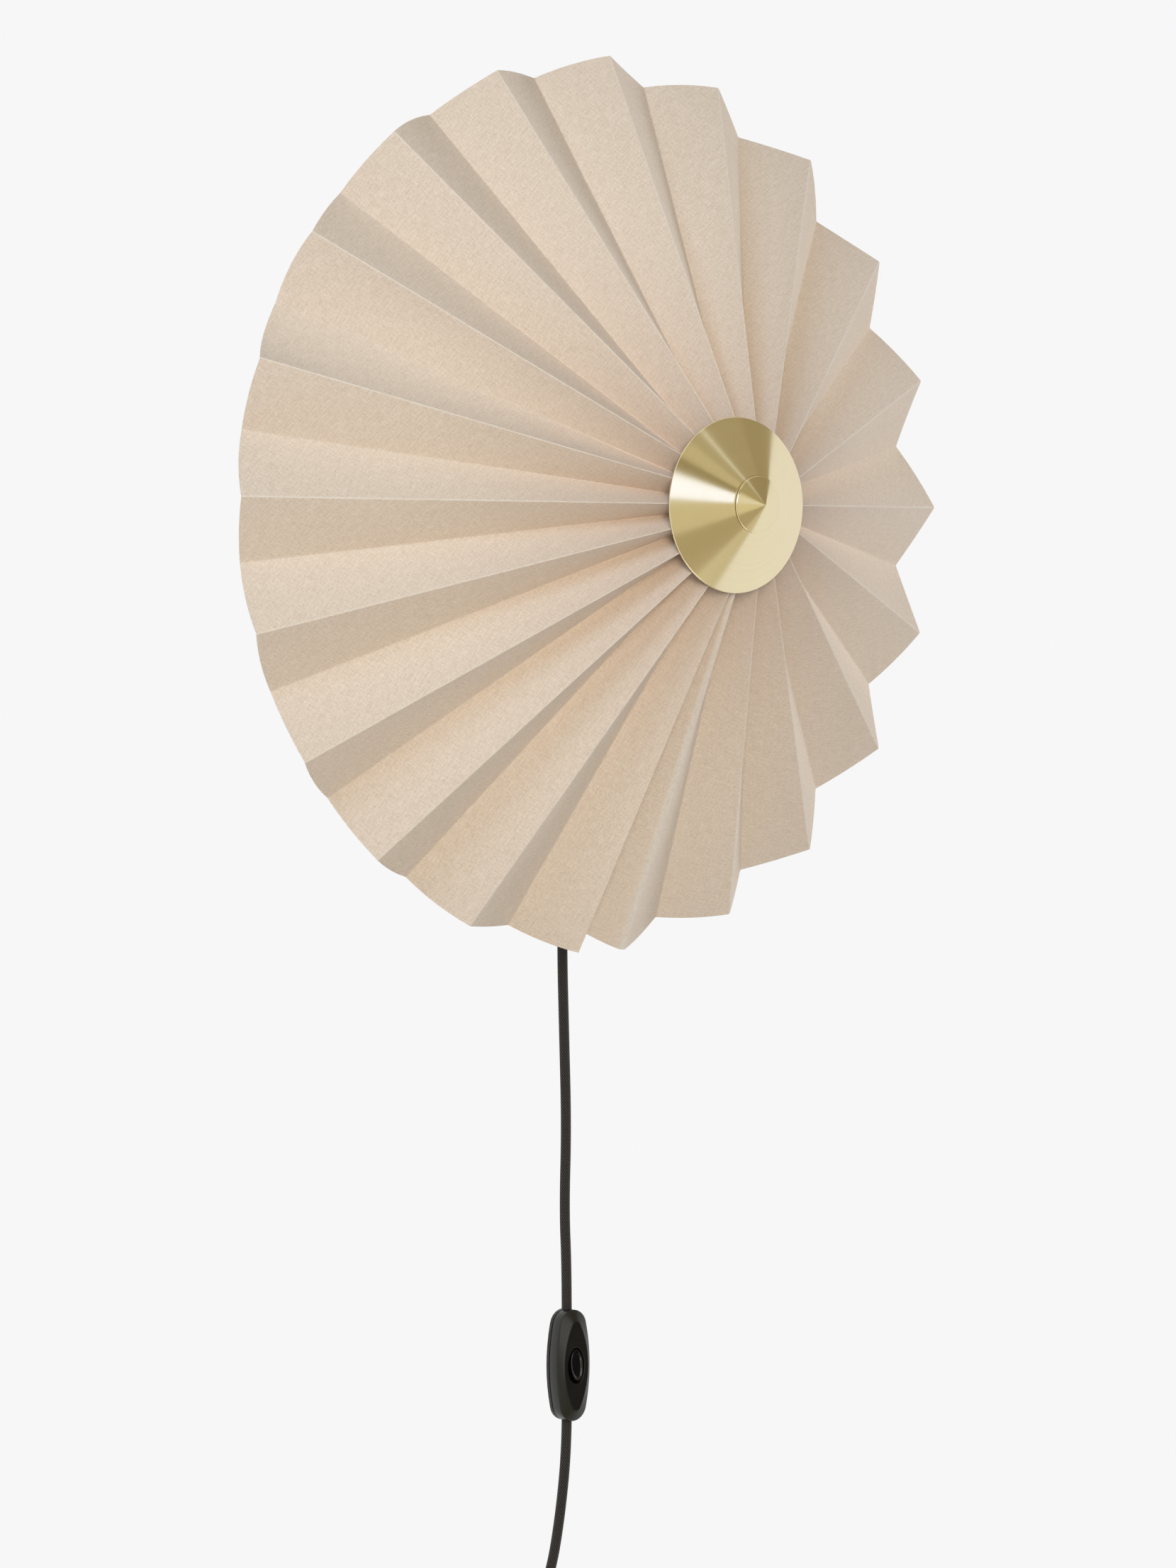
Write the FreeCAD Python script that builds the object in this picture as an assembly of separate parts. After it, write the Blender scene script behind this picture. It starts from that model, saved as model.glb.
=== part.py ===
"""Fabric shade wall light: a pleated shade on a brass hub, with a braided cord and an inline switch.

Millimetres. The origin is on the wall, on the axis of the hub. +X is right, +Z is up and the lamp
stands out of the wall towards -Y, so most places here are given as a depth: the distance from
the wall, which is -Y.
"""
import math
import os

import FreeCAD
import Part

V = FreeCAD.Vector

# ---------------------------------------------------------------- driving dimensions

GAP = 0.3                      # between pieces that lie beside each other
RUNNING = 0.05                 # radial clearance of shafts and screws in their holes
OVERSHOOT = 1.0                # how far a cutting shape passes the faces that it cuts
CORD_SIDES = 6                 # sides of the sections of cords and wires, corners on their radius
COIL_SIDES = 4                 # the same of the wound cord
LEAD_SIDES = 4                 # and of the lampholder's lead
SMALL_SIDES = 12               # sides of small screws, posts and bores
WIDE_SIDES = 24                # sides of the lampholder, the bulb and the seat
RING_SIDES = 36                # sides of the canopy and of the carrier's ring

# pleated shade
SHADE_RADIUS = 225.0           # at the tips of the mountain folds
SHADE_RIM_DEPTH = 40.0         # depth of the mountain tips
MOUNTAIN_RISE = 0.545          # how fast a mountain fold comes forward towards the hub
VALLEY_SETBACK = 9.6           # of the valley folds' rim ends from the mountain tips
VALLEY_RADIUS = SHADE_RADIUS - VALLEY_SETBACK
VALLEY_RIM_DEPTH = 22.9
VALLEY_RISE = 0.59
LAP_SETBACK = 18.5             # the same of the strip's first valley, which the lap hides
LAP_VALLEY_RADIUS = SHADE_RADIUS - LAP_SETBACK
SHADE_HUB_RADIUS = 30.0        # inner edge of the pleated strip
FABRIC_THICKNESS = 0.7
RIM_BULGE = 1.1                # how far the rim of a panel stands out at its middle
SOFT_BULGE = 2.2               # the same beside the soft mountain fold
PANEL_STRIPS = 2               # flat strips across a panel
BEND_STRIPS = 4                # the same beside the soft valley
PLEATS = 20                    # pitches from the first mountain fold to the last
SEAM_LAP = 7.3                 # degrees by which the two ends of the strip overlap
SEAM_ANGLE = 271.8             # the first mountain fold, counter-clockwise from +X
SOFT_VALLEY_INDEX = 13         # of the valley that is a round bend at the rim
LAP_FOLD_COUNT = 1             # edges before the first valley: the top of the hidden riser
SECTION_SHARES = (0.0, 0.6, 1.0)   # sections of the strip from the rim to the hub
HUB_SIDE_SHARE = 1.05          # just past the hub edge, for the direction of the panels
SECTION_SLACK = 1.0            # how far past its two sections a fold's line is followed
DRIFT = 1.16                   # degrees, even over the ring
DRIFT_SIDEWAYS = -1.33         # towards +X and away from -X
DRIFT_TWICE = -0.97            # twice round the ring
UNEVEN_FOLDS = {1: 0.8, 2: -0.6, 17: 0.5, 19: -0.4}   # degrees, as folded by hand
UNEVEN_VALLEYS = {1: 0.5, 2: -0.55, 5: 0.35, 10: -0.45, 18: -0.45, 19: -0.65, 20: 0.4}

# brass cone and finial
CONE_RADIUS = 43.0
CONE_TOP_RADIUS = 14.2
CONE_HEIGHT = 15.0             # from its rim to its flat top
CONE_THICKNESS = 0.9
CONE_CLEARANCE = 0.68          # between the mountain folds and the back of the cone
FINIAL_HEIGHT = 6.4            # of its tip above the cone's top
FINIAL_TIP_RADIUS = 1.0
FINIAL_TIP_HEIGHT = 0.2        # of the blunt tip
FINIAL_BOSS_RADIUS = 7.6
FINIAL_BOSS_LENGTH = 8.0
FINIAL_WALL = 2.1              # in front of the edge of the bore's end

# stem and nuts, thread M10 x 1
THREAD_RADIUS = 5.0
STEM_BORE = 3.8
STEM_BACK_DEPTH = 0.5
STEM_TIP_GAP = 1.0             # between the stem's front end and the end of the bore
NUT_ACROSS_FLATS = 14.0
NUT_HEIGHT = 3.0

# wall bracket
STRAP_WIDTH = 18.0
STRAP_THICKNESS = 1.5
TAB_DEPTH = 14.0
SLOT_SPACING = 60.0
SLOT_WIDTH = 4.5
SLOT_LENGTH = 10.0
COLLAR_RADIUS = 7.5
COLLAR_DEPTH = 5.0             # front face of the threaded collar
TONGUE_WIDTH = 26.0
TONGUE_DROP = 34.0

# canopy
CANOPY_RADIUS = 50.0
CANOPY_DEPTH = 24.0
CANOPY_WALL = 1.0
CANOPY_CORNER = 3.0
SIDE_SCREW_DEPTH = 8.0
SIDE_SCREW_RADIUS = 2.0
SIDE_SCREW_HEAD_RADIUS = 4.0
SIDE_SCREW_HEAD = 3.0
SIDE_SCREW_TIP = 2.5           # how far the screws pass the bracket's tabs
LEAD_HOLE_X = 15.0
LEAD_HOLE_Z = 8.0
LEAD_HOLE_RADIUS = 3.2

# lampholder and bulb
HOLDER_DEPTH = 46.0            # axis of the lampholder and the bulb
HOLDER_STRIP_WIDTH = 20.0
HOLDER_STRIP_THICKNESS = 1.5
HOLDER_STRIP_TOP = 22.0
HOLDER_STRIP_END = 58.0
HOLDER_STRIP_BEND = 3.0
HOLDER_RADIUS = 14.0
HOLDER_BASE_RADIUS = 11.5
HOLDER_BASE_LENGTH = 9.0
HOLDER_LENGTH = 44.0
HOLDER_SOCKET = 22.0           # depth of the socket from the mouth
HOLDER_BORE = 8.3
HOLDER_LEAD_BORE = 3.4
NIPPLE_LENGTH = 15.0
NIPPLE_BORE = 3.6
NIPPLE_TAIL = 1.0              # of the nipple below its nut
SHELL_WALL = 0.4
SHELL_INSET = 1.0              # of the thread sleeve from the mouth
CAP_RADIUS = 7.0
CAP_WALL = 0.4
CAP_LENGTH = 22.0
CAP_SHOULDER = 2.6             # height of the tip contact under the cap
CAP_FLOOR = 12.0               # height of the cap's inner floor above the tip
CONTACT_RADIUS = 6.0
CONTACT_DISC = 1.0
CONTACT_BUTTON_RADIUS = 2.2
CONTACT_HEIGHT = 2.6
BULB_RADIUS = 22.5
BULB_GLASS = 1.0
BULB_NECK_RADIUS = 6.4
BULB_FOOT_RISE = 1.0           # of the glass above the cap's inner floor
BULB_NECK_LENGTH = 4.0         # of the straight neck above the cap
BULB_FLARE = 4.0               # how much wider than the neck the ball begins
BULB_HEIGHT = 78.0             # from the tip contact to the crown
BULB_BANDS = 8                 # bands of the ball from the flare to its crown
BULB_CROWN = 10.0              # degrees of the flat crown round the axis
FILAMENT_STEM_RADIUS = 2.0
FILAMENT_PLATE = 1.0           # thickness of its two plates
FILAMENT_TOP_RADIUS = 7.0
FILAMENT_BASE_RADIUS = 4.2
FILAMENT_SPAN = 30.0           # from plate to plate
FILAMENT_RISE = 4.0            # of the upper plate above the ball's centre
STRIP_LIGHT_RADIUS = 0.7
STRIP_LIGHT_INSET = 0.8        # from the edges of the plates
LEAD_RADIUS = 2.2

# terminal block
BLOCK_WIDTH = 22.0
BLOCK_HEIGHT = 15.0
BLOCK_DEPTH = 12.0
BLOCK_TOP = -15.5
BLOCK_CHANNEL_WIDTH = 1.6
BLOCK_CHANNEL_DEPTH = 4.0
TERMINAL_SPREAD = 3.6          # of the screws above and below the block's middle
TERMINAL_SCREW_RADIUS = 2.0
TERMINAL_WELL = 5.0
TERMINAL_SUNK = 1.5            # of the screws' heads below the block's front
TERMINAL_SLIT_WIDTH = 0.6
TERMINAL_SLIT = 0.8            # its depth

# seat and wire carrier of the shade
SEAT_RADIUS = 46.0
SEAT_FLANGE_RADIUS = 14.0
SEAT_THICKNESS = 1.2
CARRIER_RING_RADIUS = 120.0
CARRIER_WIRE = 1.5             # radius of the ring's wire
SPOKE_WIRE = 1.25
CARRIER_HUB_RADIUS = 12.0
CARRIER_HUB_THICKNESS = 2.0
SPOKE_OVERLAP = 2.0            # of the spokes' welded ends on the hub washer
SPOKE_OFFSET = 0.4             # of their axes behind the washer's middle
SPOKES = 4
FIRST_SPOKE_VALLEY = 3         # index of the valley behind which the first spoke lies

# cord and its grip
CORD_RADIUS = 2.6
CORD_EXIT_DEPTH = 9.5          # axis of the cord at the canopy
GRIP_RADIUS = 7.5
GRIP_BODY = 10.0
GRIP_TIP_RADIUS = 4.0
GRIP_INSIDE = 5.6              # how far the grip reaches into the canopy

# inline switch
SWITCH_Z = -437.2
SWITCH_LENGTH = 57.0
SWITCH_WIDTH = 21.5
SWITCH_CORD_DEPTH = 9.4        # axis of the cord in the switch
SWITCH_BACK_DEPTH = 6.2
SWITCH_REAR_THICKNESS = 2.0
SWITCH_SIDE = 8.65             # height of the straight side wall
SWITCH_DOME = 2.4
SWITCH_FACE_WIDTH = 15.5
SWITCH_FACE_LENGTH = 41.0
SHOULDER_WIDTH = 0.78          # where the end arcs begin, as shares of the half sizes
SHOULDER_LENGTH = 0.755
OVAL_END = 0.65                # radius of an oval's end arcs as a share of its half width
SIDE_STEPS = 8                 # straight steps along each side arc of the switch's outlines
END_STEPS = 10                 # and round each end arc
SWITCH_WALL = 1.6
SWITCH_END_WALL = 8.0
CORD_SOCKET = 6.0              # how far the cord enters the switch
WELL_WIDTH = 10.6
WELL_LENGTH = 18.8
WELL_WALL = 1.2
WELL_DEPTH = 7.4
ROCKER_WIDTH = 7.3
ROCKER_LENGTH = 15.7
ROCKER_PROUD = 0.9             # how far the level rocker stands out of the face
ROCKER_DISH = 30.0             # radius of the hollow in its face
ROCKER_TIP_EDGE = 0.15         # height of the edge left at its two tips
ROCKER_HEIGHT = 7.0
ROCKER_SWING = 14.0            # degrees from off to on
PIVOT_RADIUS = 1.2
PIVOT_DEPTH = 5.0              # below the face
SWITCH_SCREW_Z = 16.5
SWITCH_SCREW_RADIUS = 1.15
SWITCH_SCREW_HEAD_RADIUS = 2.2
SWITCH_SCREW_HEAD = 1.2
SWITCH_SCREW_SUNK = 0.1        # of the heads below the back
SWITCH_SCREW_LENGTH = 6.0
SWITCH_SCREW_GAP = 0.5         # past the screws' tips in their holes
SWITCH_BOSS_RADIUS = 2.6
CONTACT_WIDTH = 2.6
CONTACT_THICKNESS = 0.6
CONTACT_X = 4.9
CONTACT_START = 3.0
CONTACT_END = 15.6

# coil of spare cord, its tie and the plug
COIL_Z = -640.0
COIL_OUTER_RADIUS = 38.0       # of the outermost turn, on the axis of the cord
COIL_PITCH = 5.8               # from turn to turn and from layer to layer
COIL_BACK_DEPTH = 5.4          # axis of the cord in the layer nearer the wall
COIL_TURNS = 7
COIL_LEAD = 2.0 * CORD_RADIUS  # straight ends of the coil
TIE_WIDTH = 8.0
TIE_THICKNESS = 1.0
TIE_CLEARANCE = 0.5
PLUG_Z = -692.0                # top of the plug's strain relief
PLUG_X = -34.0
PLUG_DEPTH = 10.6
PLUG_RELIEF_LENGTH = 20.0
PLUG_RELIEF_RADIUS = 3.4
PLUG_RELIEF_FOOT_RADIUS = 5.3
PLUG_BODY_LENGTH = 24.0
PLUG_SHOULDER = 8.0            # length of the widening top
PLUG_WIDTH = 35.0
PLUG_TOP_WIDTH = 20.0
PLUG_FACE_WIDTH = 29.0
PLUG_THICKNESS = 13.7
PLUG_CHAMFER = 3.0
PIN_RADIUS = 2.0
PIN_LENGTH = 19.0
PIN_SPACING = 18.6
PIN_ROOT = 8.0                 # length of the pins inside the plug

# routes of the free cord as (x, depth, z), chosen by hand
CORD_UPPER_ROUTE = [
    (0.0, 9.5, -71.0), (0.0, 9.5, -113.0), (0.4, 6.6, -166.0), (0.0, 5.5, -220.0),
    (0.0, 7.4, -270.0), (0.0, 9.2, -316.0), (0.0, 7.4, -358.0), (0.0, 9.4, -388.0),
    (0.0, 9.4, -414.7),
]
CORD_LOWER_ROUTE = [
    (0.0, 9.4, -459.7), (0.0, 9.4, -479.0), (-3.0, 8.2, -513.0), (-9.0, 7.0, -546.0),
    (-25.0, 5.8, -580.0), (-38.0, 5.4, -612.0), (-38.0, 5.4, -634.8),
]
CORD_TAIL_ROUTE = [
    (-38.0, 11.2, -645.2), (-38.0, 11.2, -656.0), (-34.0, 10.6, -677.0), (-34.0, 10.6, -692.0),
]
LAMPHOLDER_LEAD_ROUTE = [
    (7.0, 8.0, -15.5), (7.0, 8.0, -9.0), (14.5, 9.5, -1.0), (15.0, 15.0, 8.0), (15.0, 32.0, 8.0),
    (9.0, 43.0, 7.0), (0.0, 46.0, 11.0), (0.0, 46.0, 42.0),
]


# ---------------------------------------------------------------- helpers

def at(x, depth, z):
    """A point by its distance from the wall."""
    return V(x, -depth, z)


def polygon_face(points):
    """A flat face inside the closed line through the points."""
    return Part.Face(Part.makePolygon(points + points[:1]))


def turned(profile, x=0.0, z=0.0):
    """A solid turned about an axis square to the wall, from (radius, depth) points."""
    face = polygon_face([at(x + radius, depth, z) for radius, depth in profile])
    return face.revolve(V(x, 0, z), V(0, 1, 0), 360)


def rod(start, end, radius):
    """A round bar from one point to another."""
    direction = end - start
    return Part.makeCylinder(radius, direction.Length, start, direction)


def corners_for(radius, sides):
    """Radius of the corners of a regular polygon whose flats lie at a radius."""
    return radius / math.cos(math.pi / sides)


def ring_points(centre, direction, radius, sides):
    """Corners of a regular polygon square to a direction, with one flat facing sideways."""
    along = V(direction)
    along.normalize()
    side = along.cross(V(0, 1, 0)) if abs(along.y) < 0.9 else V(1, 0, 0)
    side.normalize()
    other = along.cross(side)
    turns = [2.0 * math.pi * (step + 0.5) / sides for step in range(sides)]
    return [centre + (side * math.cos(turn) + other * math.sin(turn)) * radius for turn in turns]


def bar(start, end, radius, sides):
    """A many-sided bar from one point to another, its corners on the radius."""
    return polygon_face(ring_points(start, end - start, radius, sides)).extrude(end - start)


def bore(start, end, radius, sides=SMALL_SIDES):
    """A many-sided bar for cutting a hole, its flats on the radius."""
    return bar(start, end, corners_for(radius, sides), sides)


def flat_faces(a, b, c, d):
    """A four-cornered face, or two triangles where its corners don't lie in one plane."""
    normal = (b - a).cross(c - a)
    off = abs((d - a).dot(normal)) / max(normal.Length, 1e-9)
    if off < 1e-6:
        return [polygon_face([a, b, c, d])]
    return [polygon_face([a, b, c]), polygon_face([a, c, d])]


def strip_faces(near, far):
    """Flat faces between two rows of points."""
    faces = []
    for a, b, c, d in zip(near, near[1:], far[1:], far):
        faces += flat_faces(a, b, c, d)
    return faces


def sewn(faces):
    """The solid inside a closed set of faces."""
    shell = Part.Shell(faces)
    shell.sewShape()
    solid = Part.Solid(shell)
    if solid.Volume < 0:
        solid.reverse()
    return solid


def faceted(profile, sides, centre, axis):
    """A many-sided solid about an axis, from (radius, height above centre) points."""
    rings = [ring_points(centre + axis * height, axis, radius, sides) for radius, height in profile]
    faces = [polygon_face(rings[0]), polygon_face(rings[-1])]
    for near, far in zip(rings, rings[1:]):
        faces += strip_faces(near + near[:1], far + far[:1])
    return sewn(faces)


def box(x_range, depth_range, z_range):
    """A box between two limits each way."""
    size = [high - low for low, high in (x_range, depth_range, z_range)]
    corner = at(x_range[0], depth_range[1], z_range[0])
    return Part.makeBox(size[0], size[1], size[2], corner)


def nut_corner():
    """Radius of the nuts' corners."""
    return corners_for(NUT_ACROSS_FLATS / 2.0, 6)


def hex_nut(centre, axis, bore_radius):
    """A hexagon nut; centre is the middle of its first face."""
    end = centre + axis * NUT_HEIGHT
    return bar(centre, end, nut_corner(), 6).cut(bore(centre, end, bore_radius))


def one(shape):
    """The single solid of a shape."""
    shape = shape.removeSplitter() if len(shape.Solids) == 1 else shape
    return shape.Solids[0] if len(shape.Solids) == 1 else shape


def arc_middle(start, corner, end):
    """The middle of the arc that leaves start towards corner and ends at end."""
    chord_middle = (start + end) * 0.5
    half_turn = math.pi / 2.0 - (start - corner).getAngle(end - corner) / 2.0
    radius = (start - corner).Length / math.tan(half_turn)
    towards = chord_middle - corner
    towards.normalize()
    return corner + towards * (radius / math.cos(half_turn) - radius)


def rounded_path(points):
    """Straight runs joined by the largest arcs that fit, and the arcs' radii."""
    edges = []
    radii = []
    here = points[0]
    for before, corner, after in zip(points, points[1:], points[2:]):
        reach = 0.45 * min((corner - before).Length, (after - corner).Length)
        back = before - corner
        forward = after - corner
        half_turn = (math.pi - back.getAngle(forward)) / 2.0
        back.normalize()
        forward.normalize()
        start = corner + back * reach
        end = corner + forward * reach
        edges.append(Part.LineSegment(here, start).toShape())
        edges.append(Part.Arc(start, arc_middle(start, corner, end), end).toShape())
        radii.append(reach / math.tan(half_turn))
        here = end
    edges.append(Part.LineSegment(here, points[-1]).toShape())
    return Part.Wire(edges), radii


def tube_along(path, start, direction, radius, sides):
    """A many-sided tube along a path, its corners on the radius."""
    corners = ring_points(start, direction, radius, sides)
    return path.makePipeShell([Part.makePolygon(corners + corners[:1])], True, False)


def section_area(radius, sides):
    """Area of the many-sided section of a cord."""
    return sides / 2.0 * radius ** 2 * math.sin(2.0 * math.pi / sides)


def cord(name, route, radius, sides=CORD_SIDES):
    """A length of cord along a route; prints its bends and compares its volume."""
    points = [at(*place) for place in route]
    path, radii = rounded_path(points)
    tube = tube_along(path, points[0], points[1] - points[0], radius, sides)
    share = tube.Volume / (section_area(radius, sides) * path.Length)
    print(name, "length %.1f" % path.Length, "volume ratio %.4f" % share,
          "bend radii", [round(value) for value in radii])
    return tube


def four_arcs(half_width, half_length, x, z, depth):
    """Points on two side arcs and two end arcs that meet at (x, z) and its mirror places."""
    corners = [(x, -z), (half_width, 0), (x, z), (0, half_length),
               (-x, z), (-half_width, 0), (-x, -z), (0, -half_length), (x, -z)]
    places = [at(px, depth, SWITCH_Z + pz) for px, pz in corners]
    points = []
    for first, count in ((0, SIDE_STEPS), (2, END_STEPS), (4, SIDE_STEPS), (6, END_STEPS)):
        arc = Part.Arc(places[first], places[first + 1], places[first + 2])
        points += arc.discretize(Number=count + 1)[:-1]
    return points


def outline(half_width, half_length, depth):
    """The switch's outline: two long side arcs joined by two round ends."""
    return four_arcs(half_width, half_length, half_width * SHOULDER_WIDTH,
                     half_length * SHOULDER_LENGTH, depth)


def outline_block(half_width, half_length, depth_from, depth_to):
    """A block with the switch's outline."""
    face = polygon_face(outline(half_width, half_length, depth_from))
    return face.extrude(V(0, depth_from - depth_to, 0))


def oval_block(width, length, depth_from, depth_to):
    """An upright oval block on the switch's axis; its four arcs run smoothly into each other."""
    half_width = width / 2.0
    half_length = length / 2.0
    end = OVAL_END * half_width
    reach = half_length - end
    side = (half_width ** 2 + reach ** 2 - end ** 2) / (2.0 * (half_width - end))
    stretch = end / math.hypot(side - half_width, reach)
    face = polygon_face(four_arcs(half_width, half_length, (side - half_width) * stretch,
                                  reach * (1.0 + stretch), depth_from))
    return face.extrude(V(0, depth_from - depth_to, 0))


# ---------------------------------------------------------------- pleated shade

def mountain_angle(index):
    """Degrees of a mountain fold; the pleats drift a little round the ring."""
    even = SEAM_ANGLE + index * (360.0 - SEAM_LAP) / PLEATS
    turn = math.radians(even)
    drift = DRIFT + DRIFT_SIDEWAYS * math.cos(turn) + DRIFT_TWICE * math.sin(2.0 * turn)
    return even + drift + UNEVEN_FOLDS.get(index, 0.0)


def fold_point(angle, radius, rim_radius, rim_depth, rise):
    """A point on a fold line that comes forward towards the hub."""
    turn = math.radians(angle)
    depth = rim_depth + rise * (rim_radius - radius)
    return at(radius * math.cos(turn), depth, radius * math.sin(turn))


def mountain_depth(radius):
    """Depth of the mountain folds at a radius."""
    return SHADE_RIM_DEPTH + MOUNTAIN_RISE * (SHADE_RADIUS - radius)


def mountain_point(angle, radius):
    return fold_point(angle, radius, SHADE_RADIUS, SHADE_RIM_DEPTH, MOUNTAIN_RISE)


def valley_point(angle, radius):
    return fold_point(angle, radius, VALLEY_RADIUS, VALLEY_RIM_DEPTH, VALLEY_RISE)


def valley_angles():
    """Degrees of the valleys; the first is the free end under the lap."""
    mountains = [mountain_angle(index) for index in range(PLEATS + 1)]
    angles = [mountains[0] - (mountains[1] - mountains[0]) / 2.0]
    for index in range(1, PLEATS + 1):
        middle = (mountains[index - 1] + mountains[index]) / 2.0
        angles.append(middle + UNEVEN_VALLEYS.get(index, 0.0))
    return angles


def riser_top(last_valley, last_mountain, free_valley):
    """Where the strip's hidden end is folded up square against the back of the last panel."""
    along = last_mountain - last_valley
    along.normalize()
    foot = last_valley + along * (free_valley - last_valley).dot(along)
    inwards = free_valley - foot
    inwards.normalize()
    return foot + inwards * (FABRIC_THICKNESS + GAP)


def fold_points(share):
    """Points where a section crosses every fold in turn, from the rim (0) to the hub (1)."""
    mountain_radius = SHADE_RADIUS + share * (SHADE_HUB_RADIUS - SHADE_RADIUS)
    points = []
    for index, valley in enumerate(valley_angles()):
        rim = VALLEY_RADIUS if index else LAP_VALLEY_RADIUS
        points.append(valley_point(valley, rim + share * (SHADE_HUB_RADIUS - rim)))
        points.append(mountain_point(mountain_angle(index), mountain_radius))
    return [riser_top(points[-2], points[-1], points[0])] + points


def forward_normal(first, second, third):
    """The unit normal of three points that faces away from the wall."""
    normal = (second - first).cross(third - first)
    normal.normalize()
    return normal if normal.y < 0 else normal * -1.0


def mitred(points, normals):
    """Each point moved back by the fabric's thickness, square to both of its panels."""
    moved = []
    for index, point in enumerate(points):
        left = normals[max(index - 1, 0)]
        right = normals[min(index, len(normals) - 1)]
        shift = (left + right) * (FABRIC_THICKNESS / (1.0 + left.dot(right)))
        moved.append(point - shift)
    return moved


def soft_fold():
    """Number of the soft valley among the folds."""
    return LAP_FOLD_COUNT + 2 * (SOFT_VALLEY_INDEX + 1)


def bend_point(points, index, place):
    """A point of the round bend that takes the place of the soft valley and its two panels."""
    fold = soft_fold()
    bend = Part.Arc(points[fold - 1], points[fold], points[fold + 1])
    start = bend.parameter(points[index])
    end = bend.parameter(points[index + 1])
    return bend.value(start + (end - start) * place)


def across_panel(points, further, share, index):
    """Points between a panel's folds; panels bulge away from the hub at the rim."""
    chord = points[index + 1] - points[index]
    side = V(chord)
    side.normalize()
    outward = points[index] + points[index + 1] - further[index] - further[index + 1]
    outward = outward - side * outward.dot(side)
    outward.normalize()
    bulge = SOFT_BULGE if index == LAP_FOLD_COUNT + 1 else RIM_BULGE
    soft = index in (soft_fold() - 1, soft_fold())
    strips = BEND_STRIPS if soft else PANEL_STRIPS
    placed = []
    for step in range(1, strips):
        place = step / strips
        crown = 4.0 * place * (1.0 - place) * bulge * (1.0 - share) ** 2
        point = points[index] + chord * place + outward * crown
        if soft:
            point = point * share + bend_point(points, index, place) * (1.0 - share)
        placed.append(point)
    return placed


def shade_sections():
    """(front folds, back folds, panel normals) of each section, from the rim to the hub."""
    hub = fold_points(HUB_SIDE_SHARE)
    sections = []
    for share in SECTION_SHARES:
        points = fold_points(share)
        normals = [forward_normal(points[i], points[i + 1], hub[i]) for i in range(len(points) - 1)]
        sections.append((points, mitred(points, normals), normals))
    return sections


def shade_rows():
    """Front and back points of each section, from one end of the strip to the other."""
    hub = fold_points(HUB_SIDE_SHARE)
    rows = []
    for share, (points, backs, normals) in zip(SECTION_SHARES, shade_sections()):
        front = [points[0]]
        back = [backs[0]]
        for index, normal in enumerate(normals):
            between = across_panel(points, hub, share, index)
            front += between + [points[index + 1]]
            back += [point - normal * FABRIC_THICKNESS for point in between] + [backs[index + 1]]
        rows.append((front, back))
    return rows


def line(start, end):
    return Part.LineSegment(start, end).toShape()


def pleated_shade():
    """One strip of laminated fabric in flat pleats, closed by a riser under its lap."""
    rows = shade_rows()
    faces = strip_faces(*rows[0]) + strip_faces(*rows[-1])
    for near, far in zip(rows, rows[1:]):
        faces += strip_faces(near[0], far[0]) + strip_faces(near[1], far[1])
        for end in (0, -1):
            faces += flat_faces(near[0][end], far[0][end], far[1][end], near[1][end])
    return sewn(faces)


def valley_back_depth(radius):
    """Least depth of the backs of the valley folds at a radius."""
    depths = []
    sections = shade_sections()
    for near, far in zip(sections, sections[1:]):
        for outer, inner in list(zip(near[1], far[1]))[LAP_FOLD_COUNT::2]:
            outer_radius = math.hypot(outer.x, outer.z)
            inner_radius = math.hypot(inner.x, inner.z)
            if inner_radius - SECTION_SLACK <= radius <= outer_radius + SECTION_SLACK:
                share = (outer_radius - radius) / (outer_radius - inner_radius)
                depths.append(-outer.y + share * (outer.y - inner.y))
    return min(depths)


# ---------------------------------------------------------------- brass hub

def cone_slope():
    return CONE_HEIGHT / (CONE_RADIUS - CONE_TOP_RADIUS)


def cone_back():
    """Thickness of the cone measured square to the wall."""
    return CONE_THICKNESS * math.hypot(1.0, cone_slope())


def cone_rim_depth():
    """Depth of the cone's front edge; its back clears the mountain folds from there to the hub."""
    needed = [mountain_depth(radius) - cone_slope() * (CONE_RADIUS - radius)
              for radius in (CONE_RADIUS, SHADE_HUB_RADIUS)]
    return max(needed) + CONE_CLEARANCE + cone_back()


def cone_top_depth():
    return cone_rim_depth() + CONE_HEIGHT


def brass_cone():
    """A spun cone with a flat top that the finial clamps."""
    hole = FINIAL_BOSS_RADIUS + RUNNING
    rim = cone_rim_depth()
    top = cone_top_depth()
    return turned([
        (CONE_RADIUS, rim), (CONE_TOP_RADIUS, top), (hole, top), (hole, top - cone_back()),
        (CONE_TOP_RADIUS, top - cone_back()), (CONE_RADIUS, rim - cone_back()),
    ])


def finial_bore_end():
    """Depth of the end of the finial's threaded bore."""
    run = (CONE_TOP_RADIUS - THREAD_RADIUS - RUNNING) / (CONE_TOP_RADIUS - FINIAL_TIP_RADIUS)
    return cone_top_depth() + (FINIAL_HEIGHT - FINIAL_TIP_HEIGHT) * run - FINIAL_WALL


def finial_nut():
    """A solid cone with a threaded boss that passes through the brass cone."""
    bore = THREAD_RADIUS + RUNNING
    seat = cone_top_depth()
    tip = seat + FINIAL_HEIGHT
    return turned([
        (0, tip), (FINIAL_TIP_RADIUS, tip - FINIAL_TIP_HEIGHT),
        (CONE_TOP_RADIUS, seat), (FINIAL_BOSS_RADIUS, seat),
        (FINIAL_BOSS_RADIUS, seat - FINIAL_BOSS_LENGTH),
        (bore, seat - FINIAL_BOSS_LENGTH), (bore, finial_bore_end()), (0, finial_bore_end()),
    ])


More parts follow.
